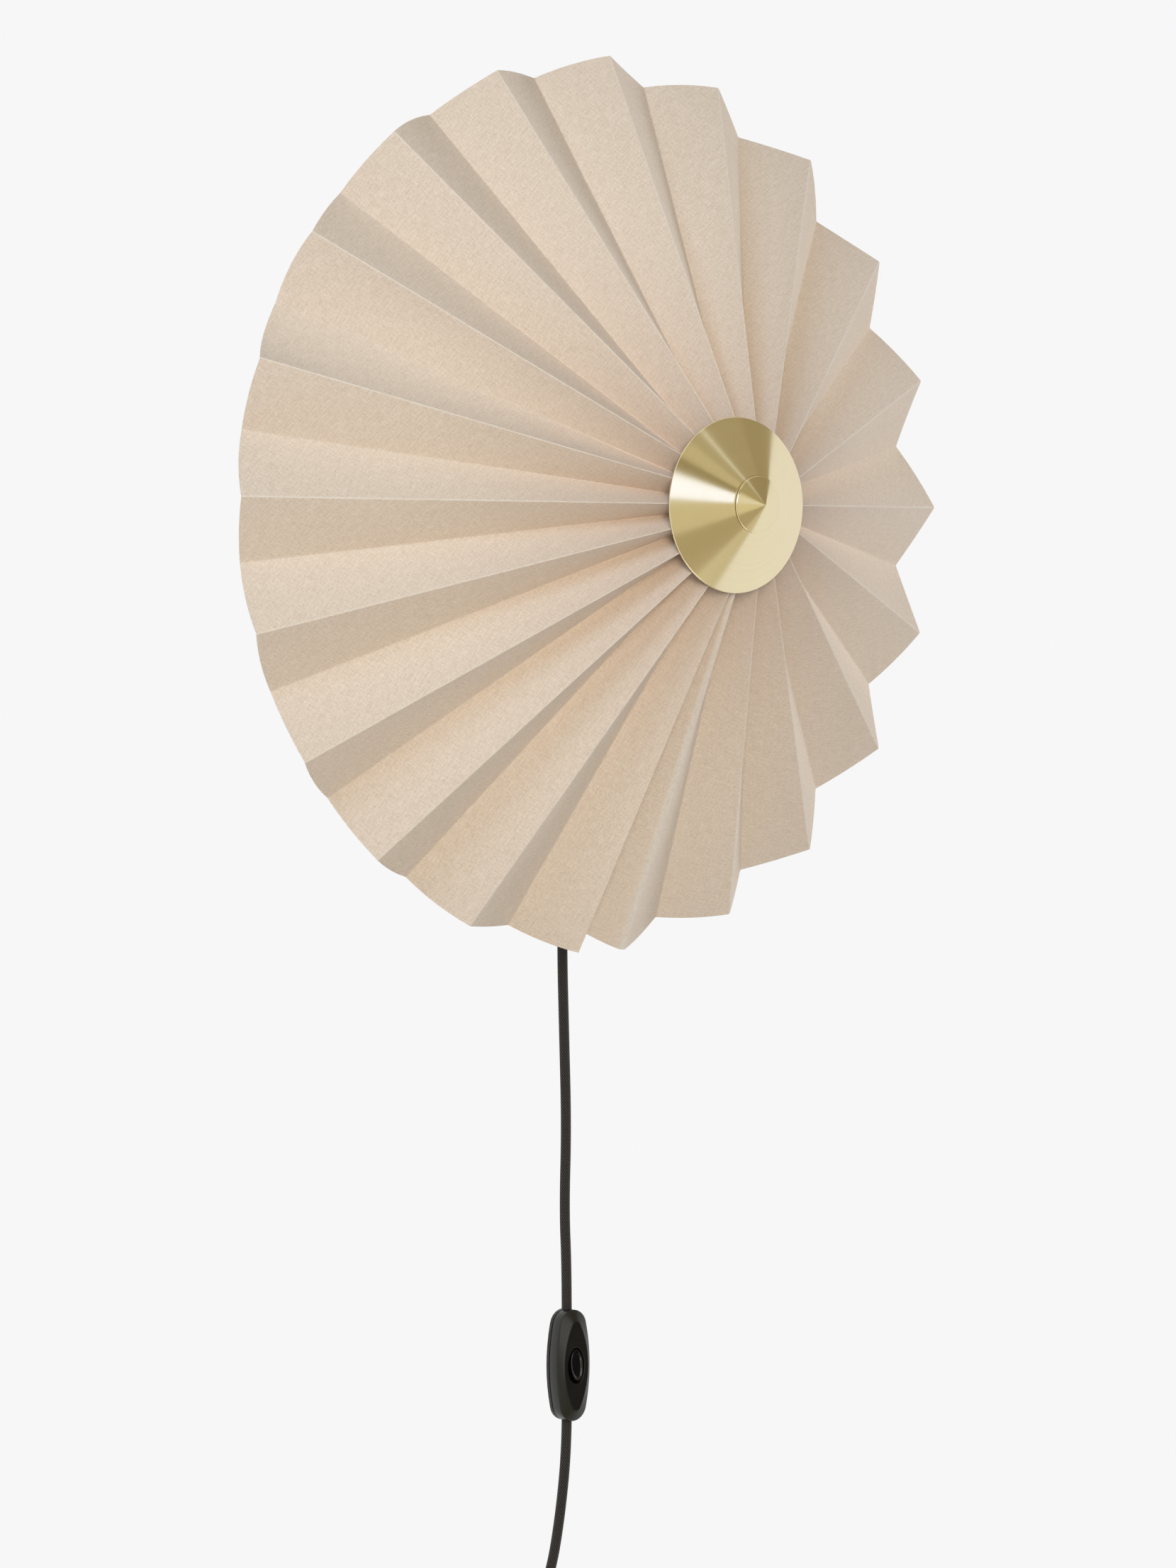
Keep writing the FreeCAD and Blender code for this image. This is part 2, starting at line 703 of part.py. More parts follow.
def stem_tube():
    front = finial_bore_end() - STEM_TIP_GAP
    return turned([
        (THREAD_RADIUS, STEM_BACK_DEPTH), (THREAD_RADIUS, front),
        (STEM_BORE, front), (STEM_BORE, STEM_BACK_DEPTH),
    ])


def stem_nut(depth):
    """A nut on the stem whose wall side lies at a depth."""
    return hex_nut(at(0, depth, 0), V(0, -1, 0), THREAD_RADIUS + RUNNING)


# ---------------------------------------------------------------- seat and carrier of the shade

def seat_line(radius):
    """Depth of the seat's front face under the valleys."""
    inner = valley_back_depth(SHADE_HUB_RADIUS)
    outer = valley_back_depth(SEAT_RADIUS)
    slope = (inner - outer) / (SEAT_RADIUS - SHADE_HUB_RADIUS)
    return outer + slope * (SEAT_RADIUS - radius) - GAP


def seat_flange_depth():
    """Depth of the back of the seat's flat flange."""
    return seat_line(SEAT_FLANGE_RADIUS) - SEAT_THICKNESS


def shade_seat():
    """A dished disc behind the valleys, with a flat flange on the stem."""
    rim = seat_line(SEAT_RADIUS)
    flange = seat_line(SEAT_FLANGE_RADIUS)
    back = SEAT_THICKNESS * math.hypot(1.0, VALLEY_RISE)
    outwards = V(0, -1, 0)
    dish = faceted([(SEAT_RADIUS, rim - back), (SEAT_RADIUS, rim), (SEAT_FLANGE_RADIUS, flange)],
                   WIDE_SIDES, at(0, 0, 0), outwards)
    hollow = faceted([(SEAT_RADIUS, rim - back), (SEAT_FLANGE_RADIUS, flange - SEAT_THICKNESS)],
                     WIDE_SIDES, at(0, 0, 0), outwards)
    hole = bore(at(0, flange + OVERSHOOT, 0), at(0, flange - SEAT_THICKNESS - OVERSHOOT, 0),
                THREAD_RADIUS + RUNNING)
    return one(dish.cut(hollow).cut(hole))


def carrier_ring_depth():
    """Depth of the ring's wire, just behind the valleys."""
    clear = (CARRIER_WIRE + GAP) * math.hypot(1.0, VALLEY_RISE)
    return valley_back_depth(CARRIER_RING_RADIUS) - clear


def carrier_ring():
    """A six-sided wire bent into a many-sided ring."""
    sections = []
    for step in range(RING_SIDES):
        turn = 2.0 * math.pi * step / RING_SIDES
        outward = V(math.cos(turn), 0, math.sin(turn))
        centre = at(0, carrier_ring_depth(), 0) + outward * CARRIER_RING_RADIUS
        sections.append(ring_points(centre, outward.cross(V(0, 1, 0)), CARRIER_WIRE, CORD_SIDES))
    faces = []
    for near, far in zip(sections, sections[1:] + sections[:1]):
        faces += strip_faces(near + near[:1], far + far[:1])
    return sewn(faces)


def shade_carrier():
    """A wire ring behind the valleys on straight spokes that are welded to a hub washer."""
    front = seat_flange_depth()
    back = front - CARRIER_HUB_THICKNESS
    washer = bar(at(0, back, 0), at(0, front, 0), CARRIER_HUB_RADIUS, WIDE_SIDES)
    washer = washer.cut(bore(at(0, back, 0), at(0, front, 0), THREAD_RADIUS + RUNNING))
    carrier = washer.fuse(carrier_ring())
    valleys = valley_angles()
    step = PLEATS // SPOKES
    for spoke in range(SPOKES):
        turn = math.radians(valleys[FIRST_SPOKE_VALLEY + spoke * step])
        start_radius = CARRIER_HUB_RADIUS - SPOKE_OVERLAP
        start = at(start_radius * math.cos(turn), front - CARRIER_HUB_THICKNESS / 2.0 - SPOKE_OFFSET,
                   start_radius * math.sin(turn))
        end = at(CARRIER_RING_RADIUS * math.cos(turn), carrier_ring_depth(),
                 CARRIER_RING_RADIUS * math.sin(turn))
        carrier = carrier.fuse(bar(start, end, SPOKE_WIRE, CORD_SIDES))
    return carrier


# ---------------------------------------------------------------- wall side

def tab_face():
    """X of the outer face of the strap's end tabs, which fit in the canopy."""
    inside = CANOPY_RADIUS - CANOPY_WALL - GAP
    return math.sqrt(inside ** 2 - (STRAP_WIDTH / 2.0) ** 2)


def slot(x, width, length, depth):
    """A through slot that runs along X."""
    straight = (length - width) / 2.0
    cut = box((x - straight, x + straight), (-OVERSHOOT, depth + OVERSHOOT), (-width / 2.0, width / 2.0))
    for side in (-straight, straight):
        cut = cut.fuse(rod(at(x + side, -OVERSHOOT, 0), at(x + side, depth + OVERSHOOT, 0), width / 2.0))
    return cut


def wall_bracket():
    """A steel strap with end tabs, a threaded collar and a tongue for the terminal block."""
    face = tab_face()
    half = STRAP_WIDTH / 2.0
    tongue = TONGUE_WIDTH / 2.0
    bracket = box((-face, face), (0, STRAP_THICKNESS), (-half, half))
    bracket = bracket.fuse(box((-tongue, tongue), (0, STRAP_THICKNESS), (-TONGUE_DROP, -half)))
    bracket = bracket.fuse(turned([(0, 0), (COLLAR_RADIUS, 0), (COLLAR_RADIUS, COLLAR_DEPTH),
                                   (0, COLLAR_DEPTH)]))
    for side in (-1.0, 1.0):
        limits = sorted((side * face, side * (face - STRAP_THICKNESS)))
        bracket = bracket.fuse(box(limits, (0, TAB_DEPTH), (-half, half)))
    bracket = bracket.cut(rod(at(0, -OVERSHOOT, 0), at(0, COLLAR_DEPTH + OVERSHOOT, 0),
                              THREAD_RADIUS + RUNNING))
    bracket = bracket.cut(rod(at(-CANOPY_RADIUS, SIDE_SCREW_DEPTH, 0),
                              at(CANOPY_RADIUS, SIDE_SCREW_DEPTH, 0), SIDE_SCREW_RADIUS + RUNNING))
    for side in (-0.5, 0.5):
        bracket = bracket.cut(slot(side * SLOT_SPACING, SLOT_WIDTH, SLOT_LENGTH, STRAP_THICKNESS))
    return one(bracket)


def canopy_blank(radius, depth, corner):
    """A many-sided block with a chamfered front corner, its flats on the radius."""
    profile = [(radius, 0), (radius, depth - corner), (radius - corner, depth)]
    return faceted([(corners_for(reach, RING_SIDES), height) for reach, height in profile],
                   RING_SIDES, at(0, 0, 0), V(0, -1, 0))


def wall_canopy():
    """A cup over the bracket, with holes for the stem, the screws, the lead and the cord."""
    cup = canopy_blank(CANOPY_RADIUS, CANOPY_DEPTH, CANOPY_CORNER)
    cup = cup.cut(canopy_blank(CANOPY_RADIUS - CANOPY_WALL, CANOPY_DEPTH - CANOPY_WALL,
                               CANOPY_CORNER - CANOPY_WALL))
    reach = CANOPY_RADIUS + OVERSHOOT
    cup = cup.cut(bore(at(0, OVERSHOOT, 0), at(0, CANOPY_DEPTH + OVERSHOOT, 0), THREAD_RADIUS + GAP))
    cup = cup.cut(bore(at(-reach, SIDE_SCREW_DEPTH, 0), at(reach, SIDE_SCREW_DEPTH, 0),
                       SIDE_SCREW_RADIUS + GAP))
    cup = cup.cut(bore(at(0, CORD_EXIT_DEPTH, -reach), at(0, CORD_EXIT_DEPTH, 0), THREAD_RADIUS + GAP))
    cup = cup.cut(bore(at(LEAD_HOLE_X, OVERSHOOT, LEAD_HOLE_Z),
                       at(LEAD_HOLE_X, CANOPY_DEPTH + OVERSHOOT, LEAD_HOLE_Z), LEAD_HOLE_RADIUS))
    return one(cup)


def canopy_screws():
    """Two knurled screws that pass the canopy's side into the bracket's tabs."""
    screws = []
    for side in (-1.0, 1.0):
        seat = side * (CANOPY_RADIUS + RUNNING)
        tip = side * (tab_face() - STRAP_THICKNESS - SIDE_SCREW_TIP)
        head = side * (CANOPY_RADIUS + RUNNING + SIDE_SCREW_HEAD)
        shank = bar(at(tip, SIDE_SCREW_DEPTH, 0), at(seat, SIDE_SCREW_DEPTH, 0), SIDE_SCREW_RADIUS,
                    SMALL_SIDES)
        knob = bar(at(seat, SIDE_SCREW_DEPTH, 0), at(head, SIDE_SCREW_DEPTH, 0),
                   SIDE_SCREW_HEAD_RADIUS, WIDE_SIDES)
        screws.append(shank.fuse(knob))
    return Part.makeCompound(screws)


def terminal_block():
    """A moulded two-pole block on the bracket's tongue, with screw wells in front."""
    bottom = BLOCK_TOP - BLOCK_HEIGHT
    front = STRAP_THICKNESS + BLOCK_DEPTH
    half = BLOCK_WIDTH / 2.0
    block = box((-half, half), (STRAP_THICKNESS, front), (bottom, BLOCK_TOP))
    channel = BLOCK_CHANNEL_WIDTH / 2.0
    block = block.cut(box((-channel, channel), (front - BLOCK_CHANNEL_DEPTH, front + OVERSHOOT),
                          (bottom - OVERSHOOT, BLOCK_TOP + OVERSHOOT)))
    for x, z in terminal_places():
        block = block.cut(bar(at(x, front - TERMINAL_WELL, z), at(x, front + OVERSHOOT, z),
                              TERMINAL_SCREW_RADIUS + RUNNING, SMALL_SIDES))
    return one(block)


def terminal_places():
    """(x, z) of the four terminal screws."""
    middle = BLOCK_TOP - BLOCK_HEIGHT / 2.0
    return [(x, middle + z) for x in (-BLOCK_WIDTH / 4.0, BLOCK_WIDTH / 4.0)
            for z in (-TERMINAL_SPREAD, TERMINAL_SPREAD)]


def terminal_screws():
    """Four slotted cheese heads, sunk in the block's wells."""
    front = STRAP_THICKNESS + BLOCK_DEPTH
    screws = []
    for x, z in terminal_places():
        head = front - TERMINAL_SUNK
        screw = bar(at(x, front - TERMINAL_WELL, z), at(x, head, z), TERMINAL_SCREW_RADIUS, SMALL_SIDES)
        slit = box((x - TERMINAL_SCREW_RADIUS, x + TERMINAL_SCREW_RADIUS), (head - TERMINAL_SLIT, head),
                   (z - TERMINAL_SLIT_WIDTH / 2.0, z + TERMINAL_SLIT_WIDTH / 2.0))
        screws.append(screw.cut(slit))
    return Part.makeCompound(screws)


def grip_top():
    return -CANOPY_RADIUS + GRIP_INSIDE


def cord_grip():
    """A screwed grip under the canopy, with a tapered sleeve that the cord leaves."""
    seat = -CANOPY_RADIUS - RUNNING
    shoulder = seat - GRIP_BODY
    tip = CORD_UPPER_ROUTE[0][2]
    thread = bar(at(0, CORD_EXIT_DEPTH, grip_top()), at(0, CORD_EXIT_DEPTH, seat), THREAD_RADIUS,
                 SMALL_SIDES)
    body = faceted([(GRIP_RADIUS, seat), (GRIP_RADIUS, shoulder), (GRIP_TIP_RADIUS, tip)],
                   SMALL_SIDES, at(0, CORD_EXIT_DEPTH, 0), V(0, 0, 1))
    return one(thread.fuse(body))


def grip_nut():
    """The nut that holds the grip from inside, clear of the canopy's round wall."""
    seat = -math.sqrt((CANOPY_RADIUS - CANOPY_WALL) ** 2 - nut_corner() ** 2) + RUNNING
    return hex_nut(at(0, CORD_EXIT_DEPTH, seat), V(0, 0, 1), THREAD_RADIUS + RUNNING)


def inner_cord():
    """The end of the cord between its grip and the terminal block."""
    bottom = BLOCK_TOP - BLOCK_HEIGHT
    return bar(at(0, CORD_EXIT_DEPTH, grip_top()), at(0, CORD_EXIT_DEPTH, bottom), CORD_RADIUS,
               CORD_SIDES)


# ---------------------------------------------------------------- lampholder and bulb

def strip_depth():
    """Front face of the lampholder bracket where it lies on the canopy."""
    return CANOPY_DEPTH + HOLDER_STRIP_THICKNESS


def lampholder_bracket():
    """A bent strip: upright on the canopy, then forward under the lampholder."""
    half = HOLDER_STRIP_WIDTH / 2.0
    under = HOLDER_STRIP_TOP - HOLDER_STRIP_THICKNESS
    inner = HOLDER_STRIP_BEND - HOLDER_STRIP_THICKNESS
    corner_depth = CANOPY_DEPTH + HOLDER_STRIP_BEND
    corner_z = HOLDER_STRIP_TOP - HOLDER_STRIP_BEND
    turn = math.sqrt(0.5)
    outer_middle = at(-half, corner_depth - HOLDER_STRIP_BEND * turn, corner_z + HOLDER_STRIP_BEND * turn)
    inner_middle = at(-half, corner_depth - inner * turn, corner_z + inner * turn)
    a = at(-half, CANOPY_DEPTH, -half)
    b = at(-half, CANOPY_DEPTH, corner_z)
    c = at(-half, corner_depth, HOLDER_STRIP_TOP)
    d = at(-half, HOLDER_STRIP_END, HOLDER_STRIP_TOP)
    e = at(-half, HOLDER_STRIP_END, under)
    f = at(-half, corner_depth, under)
    g = at(-half, strip_depth(), corner_z)
    h = at(-half, strip_depth(), -half)
    edges = [line(a, b), Part.Arc(b, outer_middle, c).toShape(), line(c, d), line(d, e),
             line(e, f), Part.Arc(f, inner_middle, g).toShape(), line(g, h), line(h, a)]
    strip = Part.Face(Part.Wire(edges)).extrude(V(HOLDER_STRIP_WIDTH, 0, 0))
    hole = THREAD_RADIUS + RUNNING
    strip = strip.cut(bore(at(0, CANOPY_DEPTH - OVERSHOOT, 0), at(0, strip_depth() + OVERSHOOT, 0), hole))
    strip = strip.cut(bore(at(0, HOLDER_DEPTH, under - OVERSHOOT),
                           at(0, HOLDER_DEPTH, HOLDER_STRIP_TOP + OVERSHOOT), hole))
    return one(strip)


def nipple_bottom():
    return HOLDER_STRIP_TOP - HOLDER_STRIP_THICKNESS - NUT_HEIGHT - NIPPLE_TAIL


def lamp_axis(z):
    """A point on the axis of the lampholder and the bulb."""
    return at(0, HOLDER_DEPTH, z)


def lampholder_nipple():
    bottom = lamp_axis(nipple_bottom())
    top = lamp_axis(nipple_bottom() + NIPPLE_LENGTH)
    return one(bar(bottom, top, THREAD_RADIUS, SMALL_SIDES).cut(bore(bottom, top, NIPPLE_BORE)))


def nipple_nut():
    place = at(0, HOLDER_DEPTH, HOLDER_STRIP_TOP - HOLDER_STRIP_THICKNESS)
    return hex_nut(place, V(0, 0, -1), THREAD_RADIUS + RUNNING)


def socket_floor():
    return HOLDER_STRIP_TOP + HOLDER_LENGTH - HOLDER_SOCKET


def lampholder_body():
    """A moulded holder with a threaded base, a lead bore and an open socket."""
    base = lamp_axis(HOLDER_STRIP_TOP)
    step = lamp_axis(HOLDER_STRIP_TOP + HOLDER_BASE_LENGTH)
    mouth = lamp_axis(HOLDER_STRIP_TOP + HOLDER_LENGTH)
    floor = lamp_axis(socket_floor())
    thread_end = lamp_axis(nipple_bottom() + NIPPLE_LENGTH + RUNNING)
    body = bar(base, step, HOLDER_BASE_RADIUS, WIDE_SIDES).fuse(
        bar(step, mouth, HOLDER_RADIUS, WIDE_SIDES))
    body = body.cut(bore(floor, mouth, HOLDER_BORE, WIDE_SIDES))
    body = body.cut(bore(base, thread_end, THREAD_RADIUS + RUNNING))
    return one(body.cut(bore(base, floor, HOLDER_LEAD_BORE)))


def lamp_contact():
    """The centre contact: a disc on the socket's floor with a raised button."""
    floor = socket_floor()
    disc = bar(lamp_axis(floor), lamp_axis(floor + CONTACT_DISC), CONTACT_RADIUS, WIDE_SIDES)
    button = bar(lamp_axis(floor + CONTACT_DISC), lamp_axis(floor + CONTACT_HEIGHT),
                 CONTACT_BUTTON_RADIUS, SMALL_SIDES)
    return one(disc.fuse(button))


def lamp_thread_shell():
    """The rolled sleeve that takes the bulb's thread."""
    outer = HOLDER_BORE - RUNNING
    bottom = lamp_axis(socket_floor() + CONTACT_HEIGHT)
    top = lamp_axis(socket_floor() + HOLDER_SOCKET - SHELL_INSET)
    sleeve = bar(bottom, top, outer, WIDE_SIDES)
    return one(sleeve.cut(bar(bottom, top, outer - SHELL_WALL, WIDE_SIDES)))


def bulb_tip():
    return socket_floor() + CONTACT_HEIGHT


def bulb_centre():
    """Height of the middle of the bulb's ball."""
    return bulb_tip() + BULB_HEIGHT - BULB_RADIUS


def bulb_cap():
    """The screw cap: a tip contact and a hollow sleeve."""
    tip = lamp_axis(bulb_tip())
    shoulder = lamp_axis(bulb_tip() + CAP_SHOULDER)
    floor = lamp_axis(bulb_tip() + CAP_FLOOR)
    mouth = lamp_axis(bulb_tip() + CAP_LENGTH)
    cap = bar(tip, shoulder, CONTACT_BUTTON_RADIUS, SMALL_SIDES).fuse(
        bar(shoulder, mouth, CAP_RADIUS, WIDE_SIDES))
    return one(cap.cut(bar(floor, mouth, CAP_RADIUS - CAP_WALL, WIDE_SIDES)))


def bulb_skin(inset):
    """The bulb as a solid: a straight neck, a flare and a ball, each inset by a wall."""
    ball = BULB_RADIUS - inset
    neck = BULB_NECK_RADIUS - inset
    first = math.asin((neck + BULB_FLARE) / ball)
    last = math.pi - math.radians(BULB_CROWN)
    profile = [(neck, bulb_tip() + CAP_FLOOR + BULB_FOOT_RISE),
               (neck, bulb_tip() + CAP_LENGTH + BULB_NECK_LENGTH)]
    for band in range(BULB_BANDS + 1):
        turn = first + (last - first) * band / BULB_BANDS
        profile.append((ball * math.sin(turn), bulb_centre() - ball * math.cos(turn)))
    return faceted(profile, WIDE_SIDES, lamp_axis(0), V(0, 0, 1))


def bulb_glass():
    """A round glass bulb whose neck stands in the cap."""
    return one(bulb_skin(0.0).cut(bulb_skin(BULB_GLASS)))


def bulb_filament():
    """The glass stem with two plates and four light strips between them, sealed in the bulb."""
    top = bulb_centre() + FILAMENT_RISE
    low = top - FILAMENT_SPAN
    body = bar(lamp_axis(bulb_tip() + CAP_FLOOR), lamp_axis(top), FILAMENT_STEM_RADIUS, SMALL_SIDES)
    body = body.fuse(bar(lamp_axis(top), lamp_axis(top + FILAMENT_PLATE), FILAMENT_TOP_RADIUS,
                         SMALL_SIDES))
    body = body.fuse(bar(lamp_axis(low), lamp_axis(low + FILAMENT_PLATE), FILAMENT_BASE_RADIUS,
                         SMALL_SIDES))
    middle = FILAMENT_PLATE / 2.0
    for quarter in range(4):
        turn = math.radians(90.0 * quarter + 45.0)
        side = V(math.cos(turn), math.sin(turn), 0)
        start = lamp_axis(low + middle) + side * (FILAMENT_BASE_RADIUS - STRIP_LIGHT_INSET)
        end = lamp_axis(top + middle) + side * (FILAMENT_TOP_RADIUS - STRIP_LIGHT_INSET)
        body = body.fuse(bar(start, end, STRIP_LIGHT_RADIUS, CORD_SIDES))
    return one(body)


# ---------------------------------------------------------------- inline switch

def switch_front_depth():
    return SWITCH_BACK_DEPTH + SWITCH_SIDE + SWITCH_DOME


def parting_depth():
    return SWITCH_BACK_DEPTH + SWITCH_REAR_THICKNESS


def cord_sockets():
    """The two round sockets that the cord enters, at the top and the bottom."""
    half = SWITCH_LENGTH / 2.0
    sockets = []
    for side in (-1.0, 1.0):
        mouth = at(0, SWITCH_CORD_DEPTH, SWITCH_Z + side * (half + OVERSHOOT))
        floor = at(0, SWITCH_CORD_DEPTH, SWITCH_Z + side * (half - CORD_SOCKET))
        sockets.append(bore(mouth, floor, CORD_RADIUS + RUNNING))
    return Part.makeCompound(sockets)


def screw_holes(radius, depth_from, depth_to):
    """Bars for the holes and bosses on the axes of the two shell screws."""
    bars = []
    for side in (-1.0, 1.0):
        z = SWITCH_Z + side * SWITCH_SCREW_Z
        bars.append(bore(at(0, depth_from, z), at(0, depth_to, z), radius))
    return Part.makeCompound(bars)


def switch_rear_shell():
    """The flat rear cover, with countersunk screw holes."""
    plate = outline_block(SWITCH_WIDTH / 2.0, SWITCH_LENGTH / 2.0, SWITCH_BACK_DEPTH, parting_depth())
    plate = plate.cut(cord_sockets())
    plate = plate.cut(screw_holes(SWITCH_SCREW_RADIUS + RUNNING, SWITCH_BACK_DEPTH - OVERSHOOT,
                                  parting_depth() + OVERSHOOT))
    plate = plate.cut(screw_holes(SWITCH_SCREW_HEAD_RADIUS + RUNNING, SWITCH_BACK_DEPTH - OVERSHOOT,
                                  SWITCH_BACK_DEPTH + SWITCH_SCREW_HEAD))
    return one(plate)


def switch_front_shell():
    """The deep shell: a bevelled face, a well for the rocker, and screw bosses inside."""
    half_width = SWITCH_WIDTH / 2.0
    half_length = SWITCH_LENGTH / 2.0
    edge = SWITCH_BACK_DEPTH + SWITCH_SIDE
    face = switch_front_depth()
    shell = outline_block(half_width, half_length, parting_depth(), edge)
    low = outline(half_width, half_length, edge)
    high = outline(SWITCH_FACE_WIDTH / 2.0, SWITCH_FACE_LENGTH / 2.0, face)
    bevel = strip_faces(low + low[:1], high + high[:1])
    dome = sewn(bevel + [polygon_face(low), polygon_face(high)])
    pocket = outline_block(half_width - SWITCH_WALL, half_length - SWITCH_END_WALL,
                           parting_depth() - OVERSHOOT, edge - SWITCH_WALL)
    shell = shell.fuse(dome).cut(pocket)
    well_floor = face - WELL_DEPTH
    shell = shell.fuse(oval_block(WELL_WIDTH + 2 * WELL_WALL, WELL_LENGTH + 2 * WELL_WALL,
                                  well_floor, edge))
    shell = shell.fuse(screw_holes(SWITCH_BOSS_RADIUS, parting_depth(), edge))
    shell = shell.cut(oval_block(WELL_WIDTH, WELL_LENGTH, well_floor - OVERSHOOT, face + OVERSHOOT))
    shell = shell.cut(screw_holes(SWITCH_SCREW_RADIUS + RUNNING, parting_depth() - OVERSHOOT,
                                  SWITCH_BACK_DEPTH + SWITCH_SCREW_HEAD + SWITCH_SCREW_LENGTH
                                  + SWITCH_SCREW_GAP))
    pivot = pivot_depth()
    reach = WELL_WIDTH / 2.0 + WELL_WALL + OVERSHOOT
    shell = shell.cut(bore(at(-reach, pivot, SWITCH_Z), at(reach, pivot, SWITCH_Z),
                           PIVOT_RADIUS + RUNNING))
    return one(shell.cut(cord_sockets()))


def pivot_depth():
    return switch_front_depth() - PIVOT_DEPTH


def switch_rocker():
    """The rocker in its rest place: the top end pressed in, the bottom end raised."""
    face = switch_front_depth() + ROCKER_PROUD
    button = oval_block(ROCKER_WIDTH, ROCKER_LENGTH, face - ROCKER_HEIGHT, face)
    sagitta = ROCKER_DISH - math.sqrt(ROCKER_DISH ** 2 - (ROCKER_LENGTH / 2.0) ** 2)
    centre = at(0, face + ROCKER_DISH - sagitta + ROCKER_TIP_EDGE, SWITCH_Z)
    dish = Part.makeSphere(ROCKER_DISH, centre)
    button = button.cut(dish)
    reach = WELL_WIDTH / 2.0 + WELL_WALL
    pivot = rod(at(-reach, pivot_depth(), SWITCH_Z), at(reach, pivot_depth(), SWITCH_Z), PIVOT_RADIUS)
    rocker = button.fuse(pivot)
    rocker.rotate(at(0, pivot_depth(), SWITCH_Z), V(1, 0, 0), -ROCKER_SWING / 2.0)
    return one(rocker)


def switch_screws():
    """Two countersunk screws from the back into the front shell's bosses."""
    head_end = SWITCH_BACK_DEPTH + SWITCH_SCREW_HEAD
    screws = []
    for side in (-1.0, 1.0):
        z = SWITCH_Z + side * SWITCH_SCREW_Z
        head = bar(at(0, SWITCH_BACK_DEPTH + SWITCH_SCREW_SUNK, z), at(0, head_end, z),
                   SWITCH_SCREW_HEAD_RADIUS, SMALL_SIDES)
        shank = bar(at(0, head_end, z), at(0, head_end + SWITCH_SCREW_LENGTH, z),
                    SWITCH_SCREW_RADIUS, SMALL_SIDES)
        screws.append(head.fuse(shank))
    return Part.makeCompound(screws)


def switch_contacts():
    """Two brass strips on the rear shell, one from each end of the cord."""
    strips = []
    for side in (-1.0, 1.0):
        x = side * CONTACT_X
        z_range = sorted((SWITCH_Z + side * CONTACT_START, SWITCH_Z + side * CONTACT_END))
        strips.append(box((x - CONTACT_WIDTH / 2.0, x + CONTACT_WIDTH / 2.0),
                          (parting_depth(), parting_depth() + CONTACT_THICKNESS), z_range))
    return Part.makeCompound(strips)


# ---------------------------------------------------------------- coil, tie and plug

def coil_radius(turns):
    """Spirals in at a steady rate, then out again."""
    middle = COIL_TURNS / 2.0
    return COIL_OUTER_RADIUS - COIL_PITCH * (middle - abs(turns - middle))


def coil_depth(turns):
    """Climbs one layer in the half turn where the spiral reverses."""
    climb = min(max((turns - (COIL_TURNS / 2.0 - 0.25)) / 0.5, 0.0), 1.0)
    return COIL_BACK_DEPTH + COIL_PITCH * (1.0 - math.cos(math.pi * climb)) / 2.0


def coil_point(turns):
    """A point on the coil's axis line; it starts at the left, going down."""
    angle = math.pi + 2.0 * math.pi * turns
    radius = coil_radius(turns)
    return at(radius * math.cos(angle), coil_depth(turns), COIL_Z + radius * math.sin(angle))


def coil_tangent(turns):
    """The coil's direction; level and square at its ends and at its reversal."""
    step = 1e-4
    if turns in (0.0, float(COIL_TURNS)):
        return V(0, 0, -1)
    direction = coil_point(turns + step) - coil_point(turns - step)
    direction.normalize()
    return direction


def biarc(start, start_tangent, end, end_tangent):
    """Two arcs that join two points with given directions, and points along them."""
    span = end - start
    total = start_tangent + end_tangent
    a = 2.0 * (1.0 - start_tangent.dot(end_tangent))
    b = 2.0 * span.dot(total)
    c = -span.dot(span)
    reach = (-b + math.sqrt(b * b - 4.0 * a * c)) / (2.0 * a)
    first = start + start_tangent * reach
    last = end - end_tangent * reach
    join = (first + last) * 0.5
    return [Part.Arc(start, arc_middle(start, first, join), join).toShape(),
            Part.Arc(join, arc_middle(join, last, end), end).toShape()]


def coil_path():
    """The coil's axis line: a straight end, quarter turns as pairs of arcs, a straight end."""
    quarters = 4 * COIL_TURNS
    start = coil_point(0.0)
    end = coil_point(float(COIL_TURNS))
    edges = [line(start + V(0, 0, COIL_LEAD), start)]
    for quarter in range(quarters):
        here = quarter / 4.0
        there = (quarter + 1) / 4.0
        edges += biarc(coil_point(here), coil_tangent(here), coil_point(there), coil_tangent(there))
    edges.append(line(end, end - V(0, 0, COIL_LEAD)))
    return Part.Wire(edges)


def least_self_gap(path):
    """The least gap between two stretches of the tube that aren't neighbours along it."""
    points = path.discretize(Number=900)
    step = path.Length / (len(points) - 1)
    apart = int(4.0 * CORD_RADIUS * math.pi / step)
    least = min((points[i] - points[j]).Length
                for i in range(len(points)) for j in range(i + apart, len(points)))
    return least - 2.0 * CORD_RADIUS


def cord_coil():
    """The spare cord, wound in two layers."""
    path = coil_path()
    start = coil_point(0.0) + V(0, 0, COIL_LEAD)
    tube = tube_along(path, start, V(0, 0, -1), CORD_RADIUS, COIL_SIDES)
    share = tube.Volume / (section_area(CORD_RADIUS, COIL_SIDES) * path.Length)
    print("cord_coil length %.1f" % path.Length, "volume ratio %.4f" % share,
          "least self gap %.2f" % least_self_gap(path))
    return tube


